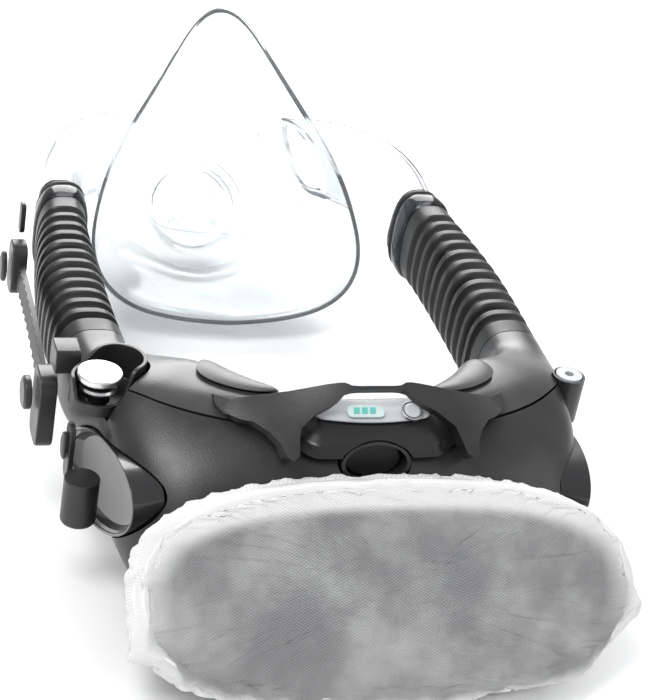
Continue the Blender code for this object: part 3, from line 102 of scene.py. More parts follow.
def set_camera():
    """Looks towards +Y and down by VIEW_TILT, then turns to the right by VIEW_TURN about its own upright."""
    sine, cosine = math.sin(VIEW_TURN), math.cos(VIEW_TURN)
    drop, level = math.sin(VIEW_TILT), math.cos(VIEW_TILT)
    ahead = Vector((sine, cosine * level, -cosine * drop))
    up = Vector((0.0, drop, level))
    right = ahead.cross(up)
    data = bpy.data.cameras.new("camera")
    data.lens = LENS
    data.sensor_width = SENSOR_WIDTH
    data.clip_start = CLIP_START
    camera = linked("camera", data)
    camera.matrix_world = Matrix((right, up, -ahead)).transposed().to_4x4()
    camera.location = Vector(VIEW_PLACE) + Vector(BENCH)
    bpy.context.scene.camera = camera


def lamp(name, place, size, power):
    data = bpy.data.lights.new(name, "AREA")
    data.size = size
    data.energy = power
    obj = linked(name, data)
    obj.location = place
    obj.rotation_euler = (Vector(LAMP_AIM) - Vector(place)).to_track_quat("-Z", "Y").to_euler()


def set_light():
    world = bpy.data.worlds.new("studio")
    world.use_nodes = True
    background = world.node_tree.nodes["Background"]
    background.inputs["Color"].default_value = SKY_COLOUR
    background.inputs["Strength"].default_value = SKY_STRENGTH
    bpy.context.scene.world = world
    bpy.context.scene.view_settings.view_transform = "Standard"
    for name, (place, size, power) in LAMPS.items():
        lamp(name, place, size, power)


# ---- shader expressions ----
class Value:
    """A socket with arithmetic: an expression on values adds its Math nodes."""

    def __init__(self, finish, socket):
        self.finish, self.socket = finish, socket

    def math(self, operation, *others):
        node = self.finish.node("ShaderNodeMath", {"operation": operation}, {})
        for index, item in enumerate((self, *others)):
            self.finish.join(item, node.inputs[index])
        return Value(self.finish, node.outputs[0])

    def __add__(self, other):
        return self.math("ADD", other)

    def __mul__(self, other):
        return self.math("MULTIPLY", other)

    __radd__, __rmul__ = __add__, __mul__

    def __sub__(self, other):
        return self.math("SUBTRACT", other)

    def __rsub__(self, other):
        return self.math("MULTIPLY", -1.0) + other

    def power(self, other):
        return self.math("POWER", other)

    def sine(self):
        return self.math("SINE")

    def size(self):
        return self.math("ABSOLUTE")

    def ramp(self, low, high):
        """0 below low, 1 above high and smooth between."""
        settings = {"interpolation_type": "SMOOTHSTEP"}
        inputs = {"Value": self, "From Min": low, "From Max": high}
        return Value(self.finish, self.finish.node("ShaderNodeMapRange", settings, inputs).outputs[0])


class Finish:
    """A material under construction round one Principled shader."""

    def __init__(self, name):
        self.material = bpy.data.materials.new(name)
        self.material.use_nodes = True
        self.tree = self.material.node_tree
        self.shader = self.tree.nodes["Principled BSDF"]

    def join(self, item, socket):
        if isinstance(item, Value):
            self.tree.links.new(item.socket, socket)
        else:
            socket.default_value = item

    def node(self, kind, settings, inputs):
        node = self.tree.nodes.new(kind)
        for key, value in settings.items():
            setattr(node, key, value)
        for key, value in inputs.items():
            self.join(value, node.inputs[key])
        return node

    def set(self, **constants):
        for key, value in constants.items():
            self.shader.inputs[key.replace("_", " ")].default_value = value

    def drive(self, **values):
        for key, value in values.items():
            self.join(value, self.shader.inputs[key.replace("_", " ")])

    def place(self):
        return Value(self, self.node("ShaderNodeTexCoord", {}, {}).outputs["Object"])

    def parts(self, vector):
        node = self.node("ShaderNodeSeparateXYZ", {}, {"Vector": vector})
        return [Value(self, output) for output in node.outputs]

    def noise(self, scale, detail=3.0, vector=None, roughness=0.5):
        inputs = {"Vector": vector or self.place(), "Scale": scale, "Detail": detail, "Roughness": roughness}
        return Value(self, self.node("ShaderNodeTexNoise", {}, inputs).outputs["Fac"])

    def attribute(self, name):
        return Value(self, self.node("ShaderNodeAttribute", {"attribute_name": name}, {}).outputs["Fac"])

    def mix(self, share, one, other):
        node = self.node("ShaderNodeMix", {"data_type": "RGBA"}, {})
        self.join(share, node.inputs[0])
        for item, socket in ((one, node.inputs[6]), (other, node.inputs[7])):
            self.join(item if isinstance(item, Value) else (*item, 1.0), socket)
        return Value(self, node.outputs[2])

    def bump(self, height, distance, strength=1.0):
        inputs = {"Height": height, "Distance": distance, "Strength": strength}
        self.drive(Normal=Value(self, self.node("ShaderNodeBump", {}, inputs).outputs["Normal"]))


def moulded(name, dark, light, roughness, grain=0.00004, coat=0.0, scale=1500.0):
    """Moulded plastic: fine grain, slight cloudiness in colour, and uneven gloss."""
    finish = Finish(name)
    cloud = finish.noise(45.0, 4.0)
    finish.drive(Base_Color=finish.mix(cloud.ramp(0.3, 0.75), dark, light))
    finish.drive(Roughness=roughness + (finish.noise(160.0, 5.0) - 0.5) * 0.16)
    finish.bump(finish.noise(scale, 2.0), grain)
    finish.set(Coat_Weight=coat, Coat_Roughness=0.08)
    return finish.material


def metal(name, colour, centre):
    """Metal turned about an upright axis: the brush marks are rings round centre."""
    finish = Finish(name)
    across, along, height = finish.parts(finish.place())
    across, along = across - float(centre[0]), along - float(centre[1])
    reach = (across * across + along * along).power(0.5)
    vector = finish.node("ShaderNodeCombineXYZ", {}, {"X": reach, "Y": height * 0.2}).outputs[0]
    marks = finish.noise(9000.0, 2.0, Value(finish, vector))
    finish.drive(Base_Color=finish.mix(marks, [c * 0.82 for c in colour], colour))
    finish.drive(Roughness=marks * 0.2 + 0.2)
    finish.bump(marks, 0.00002)
    finish.set(Metallic=1.0)
    return finish.material


def clear(name, tint, roughness):
    """Clear silicone: darker where the wall is seen edge on, with fine swirls from the mould in its gloss."""
    finish = Finish(name)
    facing = Value(finish, finish.node("ShaderNodeLayerWeight", {}, {"Blend": 0.35}).outputs["Facing"])
    cloud = finish.mix(finish.noise(30.0, 3.0), tint, [c * 0.96 for c in tint])
    # painted shade: the base colour darkens where the wall is seen edge on, standing in for dark surroundings
    # seen through the silicone at its edges
    finish.drive(Base_Color=finish.mix(facing.ramp(0.35, 1.0) * 0.85, cloud, [c * 0.22 for c in tint]))
    finish.drive(Roughness=roughness + finish.noise(220.0, 4.0) * 0.06)
    finish.bump(finish.noise(90.0, 2.0), 0.00008, 0.5)
    finish.set(Transmission_Weight=0.96, IOR=1.33)
    return finish.material


DIAMOND_SLANT, DIAMOND_PITCH = 1.6, 2200.0


def cloth(name):
    """Non-woven cloth with pressed diamonds. Where it lies on the filter, the filter shows through."""
    finish = Finish(name)
    uv = Value(finish, finish.node("ShaderNodeTexCoord", {}, {}).outputs["UV"])
    across, up, _ = finish.parts(uv)
    one = ((across + up * DIAMOND_SLANT) * DIAMOND_PITCH).sine().size()
    other = ((across - up * DIAMOND_SLANT) * DIAMOND_PITCH).sine().size()
    diamond = one.ramp(0.0, 0.45) * other.ramp(0.0, 0.45)
    fibres = finish.noise(2600.0, 4.0, roughness=0.7)
    under = finish.attribute("over_filter") * (finish.noise(55.0, 4.0).ramp(0.2, 0.7) * 0.35 + 0.62)
    shade = finish.mix(diamond * 0.6 + fibres * 0.4, (0.075, 0.076, 0.078), (0.25, 0.252, 0.255))
    white = finish.mix(diamond * 0.5 + fibres * 0.5, (0.62, 0.62, 0.615), (0.84, 0.84, 0.835))
    finish.drive(Base_Color=finish.mix(under, white, shade))
    finish.drive(Roughness=fibres * 0.15 + 0.8)
    finish.bump(diamond * 0.8 + fibres * 0.4, 0.00022, 0.8)
    finish.set(Sheen_Weight=0.25, Sheen_Roughness=0.5)
    return finish.material


def paper(name):
    finish = Finish(name)
    fibres = finish.noise(1400.0, 5.0, roughness=0.7)
    finish.drive(Base_Color=finish.mix(fibres, (0.62, 0.6, 0.55), (0.8, 0.79, 0.75)))
    finish.drive(Roughness=fibres * 0.1 + 0.85)
    finish.bump(fibres, 0.0001)
    return finish.material


def board(name):
    """Lacquered circuit board: pale tracks on green."""
    finish = Finish(name)
    across, along, height = finish.parts(finish.place())
    lines = ((across + height) * 2400.0).sine().size().ramp(0.85, 0.95)
    tracks = lines * (along * 1100.0).sine().size().ramp(0.2, 0.4)
    finish.drive(Base_Color=finish.mix(tracks, (0.02, 0.14, 0.05), (0.08, 0.3, 0.14)))
    finish.drive(Roughness=tracks * -0.1 + 0.4)
    finish.bump(tracks, 0.00003)
    return finish.material


LEFT_POST = BENCH + (-POST_X, POST_Y, 0.0)
MOTOR_AXIS = BENCH + (0.0, -0.105, 0.0)
RECIPES = {
    "satin_black": (moulded, (0.012, 0.012, 0.013), (0.022, 0.022, 0.023), 0.36),
    "gloss_black": (moulded, (0.008, 0.008, 0.009), (0.014, 0.014, 0.015), 0.22, 0.00001, 0.5),
    "shell_grey": (moulded, (0.030, 0.030, 0.031), (0.042, 0.042, 0.043), 0.33),
    "rubber_black": (moulded, (0.010, 0.010, 0.010), (0.018, 0.018, 0.018), 0.42, 0.00004, 0.0, 2200.0),
    "light_grey": (moulded, (0.42, 0.43, 0.44), (0.50, 0.51, 0.52), 0.45),
    "bright_steel": (metal, (0.72, 0.72, 0.73), LEFT_POST),
    "copper": (metal, (0.72, 0.36, 0.18), MOTOR_AXIS),
    "teal_display": (moulded, (0.50, 0.62, 0.61), (0.56, 0.68, 0.67), 0.2, 0.00001, 0.6),
    "board_green": (board,),
    "cell_wrap": (moulded, (0.03, 0.12, 0.35), (0.05, 0.16, 0.42), 0.3, 0.00002),
    "clear_silicone": (clear, (0.93, 0.95, 0.96), 0.06),
    "filter_fabric": (cloth,),
    "filter_paper": (paper,),
    "white_plastic": (moulded, (0.74, 0.74, 0.73), (0.80, 0.80, 0.79), 0.4),
}
FINISHES = {name: make(name, *values) for name, (make, *values) in RECIPES.items()}
LIT_TEAL = moulded("lit_teal", (0.10, 0.42, 0.38), (0.14, 0.48, 0.43), 0.3)
PAD_GREY = moulded("pad_grey", (0.055, 0.055, 0.056), (0.075, 0.075, 0.076), 0.42)
CONSOLE_BLACK = moulded("console_black", (0.008, 0.008, 0.009), (0.014, 0.014, 0.015), 0.36)
SMOKED = clear("smoked_clear", (0.030, 0.031, 0.033), 0.08)


# ---- surfaces from arrays ----
def net(rows, columns, wrap_rows, wrap_columns):
    """Quads of a grid of points, rows by columns, closed round in either direction where asked."""
    i = np.arange(rows if wrap_rows else rows - 1)[:, None]
    j = np.arange(columns if wrap_columns else columns - 1)[None, :]
    after, beside = (i + 1) % rows, (j + 1) % columns
    quads = [i * columns + j, after * columns + j, after * columns + beside, i * columns + beside]
    return np.stack(np.broadcast_arrays(*quads), axis=-1).reshape(-1, 4).tolist()


def torus(rows):
    """Grid closed both ways."""
    return rows.reshape(-1, 3), net(*rows.shape[:2], True, True)


def slab(outer, inner):
    """Thick sheet: each row runs along outer and back along inner. Strips close the first and last row."""
    rows = np.concatenate([outer, inner[:, ::-1]], axis=1)
    count, size = rows.shape[:2]
    faces = net(count, size, False, True)
    j = np.arange(size // 2 - 1)
    strip = np.stack([j, j + 1, size - 2 - j, size - 1 - j], axis=-1)
    return rows.reshape(-1, 3), faces + strip.tolist() + ((count - 1) * size + strip[:, ::-1]).tolist()


def tube(outer, inner):
    """Open pipe with a wall: rings along outer and back along inner."""
    return torus(np.concatenate([outer, inner[::-1]], axis=0))


def stack(rings):
    """Solid of closed rings with a flat cap at each end."""
    count, size = rings.shape[:2]
    faces = net(count, size, False, True)
    first, last = list(range(size)), list(range((count - 1) * size, count * size))
    return rings.reshape(-1, 3), faces + [first, last[::-1]]


def bearings(sides):
    return np.arange(sides) * 2 * math.pi / sides


def smoothstep(value):
    """0 below 0, 1 above 1 and 3 v^2 - 2 v^3 between."""
    value = np.clip(value, 0.0, 1.0)
    return value * value * (3 - 2 * value)


def mesh_object(name, shape, bench=True):
    """A mesh from (points, faces), given in the bench frame, with its faces turned outwards."""
    points, faces = shape
    points = np.asarray(points) + (BENCH if bench else 0.0)
    mesh = bpy.data.meshes.new(name)
    mesh.from_pydata(points.tolist(), [], faces)
    work = bmesh.new()
    work.from_mesh(mesh)
    bmesh.ops.recalc_face_normals(work, faces=work.faces)
    work.to_mesh(mesh)
    work.free()
    return linked(name, mesh)


def settle(obj):
    """Applies the modifiers."""
    graph = bpy.context.evaluated_depsgraph_get()
    mesh = bpy.data.meshes.new_from_object(obj.evaluated_get(graph))
    obj.modifiers.clear()
    obj.data = mesh


def cut(obj, shape):
    """Takes the closed shape away from the object."""
    cutter = mesh_object("cutter", shape)
    step = obj.modifiers.new("cut", "BOOLEAN")
    step.operation = "DIFFERENCE"
    step.solver = "EXACT"
    step.object = cutter
    settle(obj)
    bpy.data.objects.remove(cutter)


SHARP_ANGLE = 35.0


def dress(obj, node, finish=None, edge=0.0, sharp=SHARP_ANGLE, bends=None):
    """The piece takes the node's place: its body, its slot and its finish.

    edge is the width of its rounded edges. When bends is given, the piece's transform is baked in and it
    joins no body; the (start, end) in bends are not used.
    """
    obj.data.shade_smooth()
    obj.data.set_sharp_from_angle(angle=math.radians(sharp))
    obj.data.materials.clear()
    obj.data.materials.append(finish or FINISHES[SLOTS[node]])
    if edge:
        bevel = obj.modifiers.new("edge", "BEVEL")
        bevel.width = edge
        bevel.segments = 2
        bevel.limit_method = "ANGLE"
        bevel.angle_limit = math.radians(sharp)
        bevel.harden_normals = True
    if bends:
        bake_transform(obj)
    else:
        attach(obj, BODIES[node])
    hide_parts(node)


def piece(node, shape, **choices):
    dress(mesh_object(node + "_skin", shape), node, **choices)


class Place:
    """Origin plus three unit axes, called across, up and out."""

    def __init__(self, origin, across, up, out):
        self.origin = np.array(origin, float)
        self.axes = np.array([across, up, out], float)

    def at(self, across, up, out):
        local = np.stack(np.broadcast_arrays(across, up, out), axis=-1).astype(float)
        return self.origin + local @ self.axes

    def moved(self, across=0.0, up=0.0, out=0.0):
        return Place(self.at(across, up, out), *self.axes)


LEAN = math.radians(37.0)


def leaning(origin, sign):
    """A place whose face leans back by LEAN and looks towards sign times Y."""
    up = (0.0, math.sin(LEAN), math.cos(LEAN))
    return Place(origin, (1.0, 0.0, 0.0), up, (0.0, sign * math.cos(LEAN), -sign * math.sin(LEAN)))


def upright(x, y):
    return Place((x, y, 0.0), (1, 0, 0), (0, 1, 0), (0, 0, 1))


FILTER = leaning((0.0, -105.0 * MM, 25.0 * MM), -1)
MASK = leaning((0.0, 97.8 * MM, -0.5 * MM), 1)


def ring(place, radius, height, sides=64, squash=1.0):
    """Circle r (cos a, squash sin a) at a height out of the place."""
    angle = bearings(sides)
    return place.at(radius * np.cos(angle), squash * radius * np.sin(angle), height)


def disc(place, profile, sides=64, squash=1.0):
    """Solid turned from (radius, height) rows."""
    return stack(np.array([ring(place, r, h, sides, squash) for r, h in profile]))


OVAL_POWER = 2.8


def oval(angle, half_width, half_height, power=OVAL_POWER):
    """Superellipse: each coordinate is its half size times cosine or sine to the power 2 / power."""
    cosine, sine = np.cos(angle), np.sin(angle)
    across = half_width * np.sign(cosine) * np.abs(cosine) ** (2 / power)
    return across, half_height * np.sign(sine) * np.abs(sine) ** (2 / power)


# ---- CAD nodes that keep their shape ----
MERGE_REACH, FLAT_ANGLE = 2e-6, math.radians(1.0)


def softened(node, edge):
    """A merged copy of a CAD node with its flat faces joined and its edges rounded."""
    obj = linked(node + "_skin", frame["nodes"][node].data.copy())
    work = bmesh.new()
    work.from_mesh(obj.data)
    bmesh.ops.remove_doubles(work, verts=work.verts, dist=MERGE_REACH)
    bmesh.ops.dissolve_limit(work, angle_limit=FLAT_ANGLE, verts=work.verts, edges=work.edges)
    work.to_mesh(obj.data)
    work.free()
    dress(obj, node, edge=edge)


# ---- housing ----
NECK_RADIUS, NECK_CENTRE_Y, CREST_HEIGHT = 53.0 * MM, 6.0 * MM, 58.0 * MM
SHOULDER_ANGLE = 90.0
HOSE_WIDTH, HOSE_HEIGHT, CUFF_WIDTH = 23.0 * MM, 33.0 * MM, 18.0 * MM
PORT_X, PORT_Z = 74.0 * MM, 34.5 * MM
HOSE_LENGTH, HOSE_CLIMB = 98.0 * MM, 4.5 * MM
INNER_KNOTS = np.array([0.14, 0.32, 0.50, 0.68, 0.85])
OUTER_KNOTS = np.array([1.0, 0.975, 0.90, 0.78, 0.62, 0.42, 0.20])
OVAL_DEGREES = np.array([218, 200, 182, 164, 146, 125, 102, 75, 44, 12, -14, -35, -53, -70, -95, -120])
LEVELS = np.array([-9, -4, 0, 5, 20, 40, 46, 50, 53, 56, 58]) * MM
HALF_DEPTHS = np.array([107, 112.5, 111.5, 108, 97, 81.5, 77.5, 73, 68, 61, 58]) * MM
SIDE_LEVELS = np.array([-9, 0, 8, 20, 35, 45, 52, 56, 58]) * MM
HALF_WIDTHS = np.array([70, 74, 77, 79, 80, 81.5, 82.5, 82, 80]) * MM
UPPER_SPLIT, LOWER_SPLIT, HALF_PART, LOOP_KNOTS = 8.5, 0.5, 0.04, 16
BLEND_FROM, BLEND_MARGIN = 55, 4


def outline_radius(angle, height):
    """Distance from the neck's centre to the outside: a superellipse, squarish low and rounder high up."""
    depth = np.interp(height, LEVELS, HALF_DEPTHS)
    width = np.interp(height, SIDE_LEVELS, HALF_WIDTHS)
    power = np.interp(height, [35 * MM, 56 * MM], [5.0, 2.6])
    share = (np.abs(np.sin(angle)) / width) ** power + (np.abs(np.cos(angle)) / depth) ** power
    return share ** (-1 / power)


def section_knots(angle):
    """Sixteen knots, as (radius, height), of the section at each angle.

    The collar's own section blends into the hose's oval between BLEND_FROM and the shoulder.
    """
    turn = np.degrees(np.abs(angle))[:, None]
    low = (-9.0 + 13.0 * smoothstep((turn - 15) / 40)) * MM
    high = np.full_like(turn, CREST_HEIGHT)
    rays = angle[:, None]
    inner_z = low + INNER_KNOTS * (high - low)
    inner_r = np.full_like(inner_z, NECK_RADIUS)
    outer_z = low + OUTER_KNOTS * (high - low)
    outer_r = outline_radius(rays, outer_z)
    crest_r = NECK_RADIUS + np.array([0.9, 4.2]) * MM + 0 * turn
    crest_z = high - np.array([3.4, 0.3]) * MM
    outer_r[:, :1] = 0.45 * crest_r[:, 1:] + 0.55 * outer_r[:, 1:2]
    floor_z = low + np.array([3.0, 1.0]) * MM
    reach = outline_radius(rays, floor_z) - NECK_RADIUS
    floor_r = NECK_RADIUS + np.array([0.86, 0.25]) * reach
    block_r = np.concatenate([inner_r, crest_r, outer_r, floor_r], axis=1)
    block_z = np.concatenate([inner_z, crest_z, outer_z, floor_z], axis=1)
    across, up = oval(np.radians(OVAL_DEGREES), HOSE_WIDTH / 2, HOSE_HEIGHT / 2)
    blend = smoothstep((turn - BLEND_FROM) / (SHOULDER_ANGLE - BLEND_MARGIN - BLEND_FROM))
    return block_r + blend * (PORT_X + across - block_r), block_z + blend * (PORT_Z + up - block_z)


def round_loop(values, knots):
    """Catmull-Rom curve round a closed loop of knots, one row of values for each row of knots."""
    size = values.shape[1]
    base = np.floor(knots).astype(int)
    t = knots - base
    p0, p1, p2, p3 = (np.take_along_axis(values, (base + step) % size, axis=1) for step in (-1, 0, 1, 2))
    second, third = 2 * p0 - 5 * p1 + 4 * p2 - p3, 3 * p1 - p0 - 3 * p2 + p3
    return 0.5 * (2 * p1 + (p2 - p0) * t + second * t**2 + third * t**3)


def skin(angle, knots):
    """Points of the housing's skin: a section curve turned round the neck's centre."""
    knots = np.broadcast_to(knots, (len(angle), knots.shape[-1]))
    radius, height = section_knots(angle)
    r, z = round_loop(radius, knots), round_loop(height, knots)
    rays = angle[:, None]
    return np.stack([r * np.sin(rays), NECK_CENTRE_Y - r * np.cos(rays), z], axis=-1)


def raised(angle, knots, height):
    """The skin moved along its normal, the cross product of its two tangents."""
    step = math.radians(2.0)
    round_way = skin(angle + step, knots) - skin(angle - step, knots)
    along = skin(angle, knots + 0.3) - skin(angle, knots - 0.3)
    normal = np.cross(along, round_way)
    normal /= np.linalg.norm(normal, axis=-1, keepdims=True)
    return skin(angle, knots) + normal * np.asarray(height)[..., None]


def skin_slab(angle, knots, inside, outside):
    """Sheet that follows the skin, from one height above it to another."""
    return slab(raised(angle, knots, outside), raised(angle, knots, inside))


CUP_LOW, CUP_WALL, CUP_FLOOR, CUP_HOLE = 45.6 * MM, 1.3 * MM, 1.4 * MM, 3.7 * MM
CUP_FAR, CUP_NEAR = np.array([-73.0, -24.0, 8.8]) * MM, 9.0 * MM


def cup_loop(grow, height, sides=96):
    """Outline round a small circle at the post and a wider one: the farthest of all circles between."""
    near, far = np.array([-POST_X, POST_Y]), CUP_FAR[:2]
    middle = (near + far) / 2
    bearing = np.linspace(0, 2 * math.pi, sides, endpoint=False)
    ray = np.stack([np.cos(bearing), np.sin(bearing)], axis=-1)
    share = np.linspace(0, 1, 33)[:, None, None]
    offset = near + (far - near) * share - middle
    radius = (CUP_NEAR + (CUP_FAR[2] - CUP_NEAR) * share + grow)[..., 0]
    ahead = (ray * offset).sum(axis=-1)
    reach = (ahead + np.sqrt(radius**2 - (offset**2).sum(axis=-1) + ahead**2)).max(axis=0)
    return np.column_stack([middle + ray * reach[:, None], np.full(sides, height)])


PORT_RADIUS, PORT_SQUASH, PORT_LIFT = 11.4 * MM, 0.62, math.radians(11.0)
PORT = Place(
    np.array([0.0, -70.5, 48.4]) * MM,
    (1, 0, 0),
    (0.0, math.sin(PORT_LIFT), math.cos(PORT_LIFT)),
    (0, -math.cos(PORT_LIFT), math.sin(PORT_LIFT)),
)
COVER_HALF = np.array([34.5, 15.5]) * MM


def side_place(side):
    turn, toe = math.radians(-20.0), math.radians(8.0)
    out = np.array([side * math.cos(toe), -math.sin(toe), 0.0])
    level = np.array([side * math.sin(toe), math.cos(toe), 0.0])
    upward = np.array([0.0, 0.0, 1.0])
    across = level * math.cos(turn) + upward * math.sin(turn)
    up = upward * math.cos(turn) - level * math.sin(turn)
    return Place(np.array([side * 78.4, -40.0, 23.2]) * MM, across, up, out)


def port_hole():
    room = PORT_RADIUS + GAP / PORT_SQUASH
    return disc(PORT, [(room, -9 * MM), (room, 12 * MM)], squash=PORT_SQUASH)


INTAKE = FILTER.moved(up=11.0 * MM, out=-15.0 * MM)
SPIGOT_RADIUS, SPIGOT_ROOM = 17.0 * MM, 3 * MM
PAST_TOP, POST_POCKET = 90 * MM, 37 * MM


def make_shells():
    """Two skins parted along a line round the collar, with openings for what comes through them."""
    angle = np.radians(np.linspace(-SHOULDER_ANGLE, SHOULDER_ANGLE, 121))
    neck = np.linspace(LOWER_SPLIT + HALF_PART, UPPER_SPLIT - HALF_PART, 48)
    back = np.linspace(UPPER_SPLIT + HALF_PART, LOOP_KNOTS + LOWER_SPLIT - HALF_PART, 48)
    neck_skin = mesh_object("neck_shell_skin", skin_slab(angle, neck, -WALL, 0.0))
    back_skin = mesh_object("back_shell_skin", skin_slab(angle, back, -WALL, 0.0))
    room = POST_RADIUS + GAP
    post_pocket = disc(upright(POST_X, POST_Y), [(room, POST_POCKET), (room, PAST_TOP)])
    cup_pocket = stack(np.array([cup_loop(1.2 * MM, height) for height in (CUP_LOW - MM, PAST_TOP)]))
    for pocket in (post_pocket, cup_pocket):
        cut(neck_skin, pocket)
        cut(back_skin, pocket)
    squash = COVER_HALF[1] / COVER_HALF[0]
    room = COVER_HALF[0] + GAP / squash
    for side in (-1, 1):
        cut(back_skin, disc(side_place(side), [(room, -12 * MM), (room, 12 * MM)], 64, squash))
    room = SPIGOT_RADIUS + SPIGOT_ROOM
    cut(back_skin, disc(INTAKE, [(room, -9 * MM), (room, 6 * MM)]))
    cut(back_skin, port_hole())
    dress(neck_skin, "neck_shell", edge=0.35 * MM)
    dress(back_skin, "back_shell", edge=0.35 * MM)


PAD_ANGLE, PAD_HALF_ANGLE, PAD_POWER = math.radians(42.0), math.radians(14.0), 2.6
PAD_KNOT, PAD_CROWN, PAD_RIM = 5.6, 1.2 * MM, 0.35 * MM


def make_pads():
    """Pads on the collar's crest: superellipse ends and a crown that falls off at the edges."""
    share, down = np.linspace(-1, 1, 41), np.linspace(-1, 1, 24)
    round_end = np.clip(1 - np.abs(share * 0.985) ** PAD_POWER, 0.02, 1) ** (1 / PAD_POWER)
    knots = PAD_KNOT + np.outer(round_end, np.linspace(-1.6, 1.2, 24))
    crown = PAD_CROWN * (1 - np.abs(down) ** 6) * (1 - np.abs(share[:, None]) ** 8)
    inside = 2.2 * GAP
    outside = inside + PAD_RIM + 0.7 * crown
    for side, word in SIDES:
        angle = PAD_ANGLE * side + share * PAD_HALF_ANGLE
        piece(f"neck_pad_{word}", skin_slab(angle, knots, inside, outside), finish=PAD_GREY, edge=0.1 * MM)


CONSOLE_HALF_ANGLE, CONSOLE_THICK = math.radians(22.0), 1.6 * MM
CONSOLE_REACH = np.array([57.2, 61.0, 65.6, 69.0, 72.6, 75.8, 76.9]) * MM
CONSOLE_HEIGHT = np.array([59.9, 60.6, 59.6, 58.0, 56.4, 54.4, 50.6]) * MM
CONSOLE_KNOTS = np.array([6.3, 6.8, 7.4, 7.9, 8.3, 8.7, 9.05])
CONSOLE_FLAT, CONSOLE_RUN_OUT = 0.62, 0.38
KEYPAD_THICK, KEYPAD_FIT, KEYPAD_TOP, KEYPAD_DROP = 0.8 * MM, 0.6 * MM, 0.17, 0.33


def console_middle(angle):
    """1 over the console's middle, falling smoothly to 0 at its sides."""
    return 1 - smoothstep((np.abs(angle) / CONSOLE_HALF_ANGLE - CONSOLE_FLAT) / CONSOLE_RUN_OUT)


def hump(angle, share):
    """The console's middle section turned round the neck, drawn out a little towards its sides."""
    at = np.linspace(0, 1, len(CONSOLE_REACH))
    reach = np.interp(share, at, CONSOLE_REACH) / np.cos(angle[:, None]) ** 0.8
    height = np.interp(share, at, CONSOLE_HEIGHT)
    rays = angle[:, None]
    return np.stack([reach * np.sin(rays), NECK_CENTRE_Y - reach * np.cos(rays), height + 0 * reach], axis=-1)


def console_skin(angle, share, height):
    """The hump raised by height, running out onto the housing's skin at its sides."""
    share = np.broadcast_to(share, (len(angle), share.shape[-1]))
    round_way = hump(angle + 1e-3, share) - hump(angle - 1e-3, share)
    along = hump(angle, share + 0.06) - hump(angle, share - 0.06)
    normal = np.cross(along, round_way)
    normal /= np.linalg.norm(normal, axis=-1, keepdims=True)
    height = height + 0 * share
    knots = np.interp(share, np.linspace(0, 1, len(CONSOLE_KNOTS)), CONSOLE_KNOTS)
    edge = raised(angle, knots, 2 * GAP + CONSOLE_THICK * 0.7 + height)
    middle = console_middle(angle)[:, None, None]
    return middle * (hump(angle, share) + normal * height[..., None]) + (1 - middle) * edge


def make_console():
    """The panel round the port, and the keypad that lies on its upper part with a curved lower edge."""
    angle = np.linspace(-CONSOLE_HALF_ANGLE, CONSOLE_HALF_ANGLE, 61)
    share = np.linspace(0, 1, 36)
    depth = CONSOLE_THICK * (0.7 + 0.3 * console_middle(angle)[:, None]) + 0 * share[None, :]
    sheet = slab(console_skin(angle, share, 0.0), console_skin(angle, share, -depth))
    panel = mesh_object("console_panel_skin", sheet)
    cut(panel, port_hole())
    dress(panel, "console_panel", finish=CONSOLE_BLACK, edge=0.3 * MM)
    angle = np.linspace(-CONSOLE_HALF_ANGLE * 0.72, CONSOLE_HALF_ANGLE * 0.72, 41)
    curve = 1 - 0.4 * (angle / CONSOLE_HALF_ANGLE) ** 2
    share = KEYPAD_TOP + np.outer(curve, np.linspace(0, 1, 14)) * KEYPAD_DROP
    face = KEYPAD_FIT + KEYPAD_THICK
    sheet = slab(console_skin(angle, share, face), console_skin(angle, share, KEYPAD_FIT))
    piece("keypad_panel", sheet, edge=0.25 * MM)


BAR_CORNERS = np.array([[-1.1, -1.1], [0.7, -1.1], [1.1, 1.1], [-0.7, 1.1]])
BAR_MIDDLES = (-3.0, -0.4, 2.2)
BAR_HEIGHTS = (GAP + 0.65 * MM, GAP + 0.80 * MM)


def make_battery_sign():
    """Three slanting bars, raised a little from the display."""
    spot, level = np.array([math.radians(-2.5)]), np.array([[KEYPAD_TOP + 0.55 * KEYPAD_DROP]])
    face = KEYPAD_FIT + KEYPAD_THICK
    here = console_skin(spot, level, face)[0, 0]
    out = console_skin(spot, level, face + MM)[0, 0] - here
    out /= np.linalg.norm(out)
    across = console_skin(spot + 1e-3, level, face)[0, 0] - here
    across -= out * (across @ out)
    across /= np.linalg.norm(across)
    display = Place(here, across, np.cross(out, across), out)
    for number, middle in enumerate(BAR_MIDDLES):
        bar = BAR_CORNERS + (middle, 0.0)
        rings = [display.at(bar[:, 0] * MM, bar[:, 1] * MM, height) for height in BAR_HEIGHTS]
        obj = mesh_object(f"battery_bar_{number}", stack(np.array(rings)))
        obj.data.materials.append(LIT_TEAL)
        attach(obj, "housing")


YOKE_HALF_WIDTH, YOKE_THICK, YOKE_FOOT = 48.0 * MM, 2.6 * MM, 8.0 * MM
YOKE_FEET_Y, YOKE_FEET_Z, YOKE_LEAST_WALL = -76.4 * MM, 55.0 * MM, 1.4 * MM
YOKE_INWARD = np.array([0, 0.5, -0.866])
YOKE_SPOTS = np.array([0, 6, 8, 10, 12, 15, 19.5, 25, 26, 27, 29, 31, 32, 34.5, 38.5, 42, 46, 48]) * MM
YOKE_TOP = np.array([20, 20, 21, 26, 26, 24, 20, 15, 14, 13, 12, 10, 9, 8, 6, 4, 2, 2]) * -0.01
YOKE_LOW = np.array([-14, -14, -13, -10, 1, 13, 25, 50, 68, 96, 104, 98, 76, 56, 38, 33, 21, 12]) * 0.01


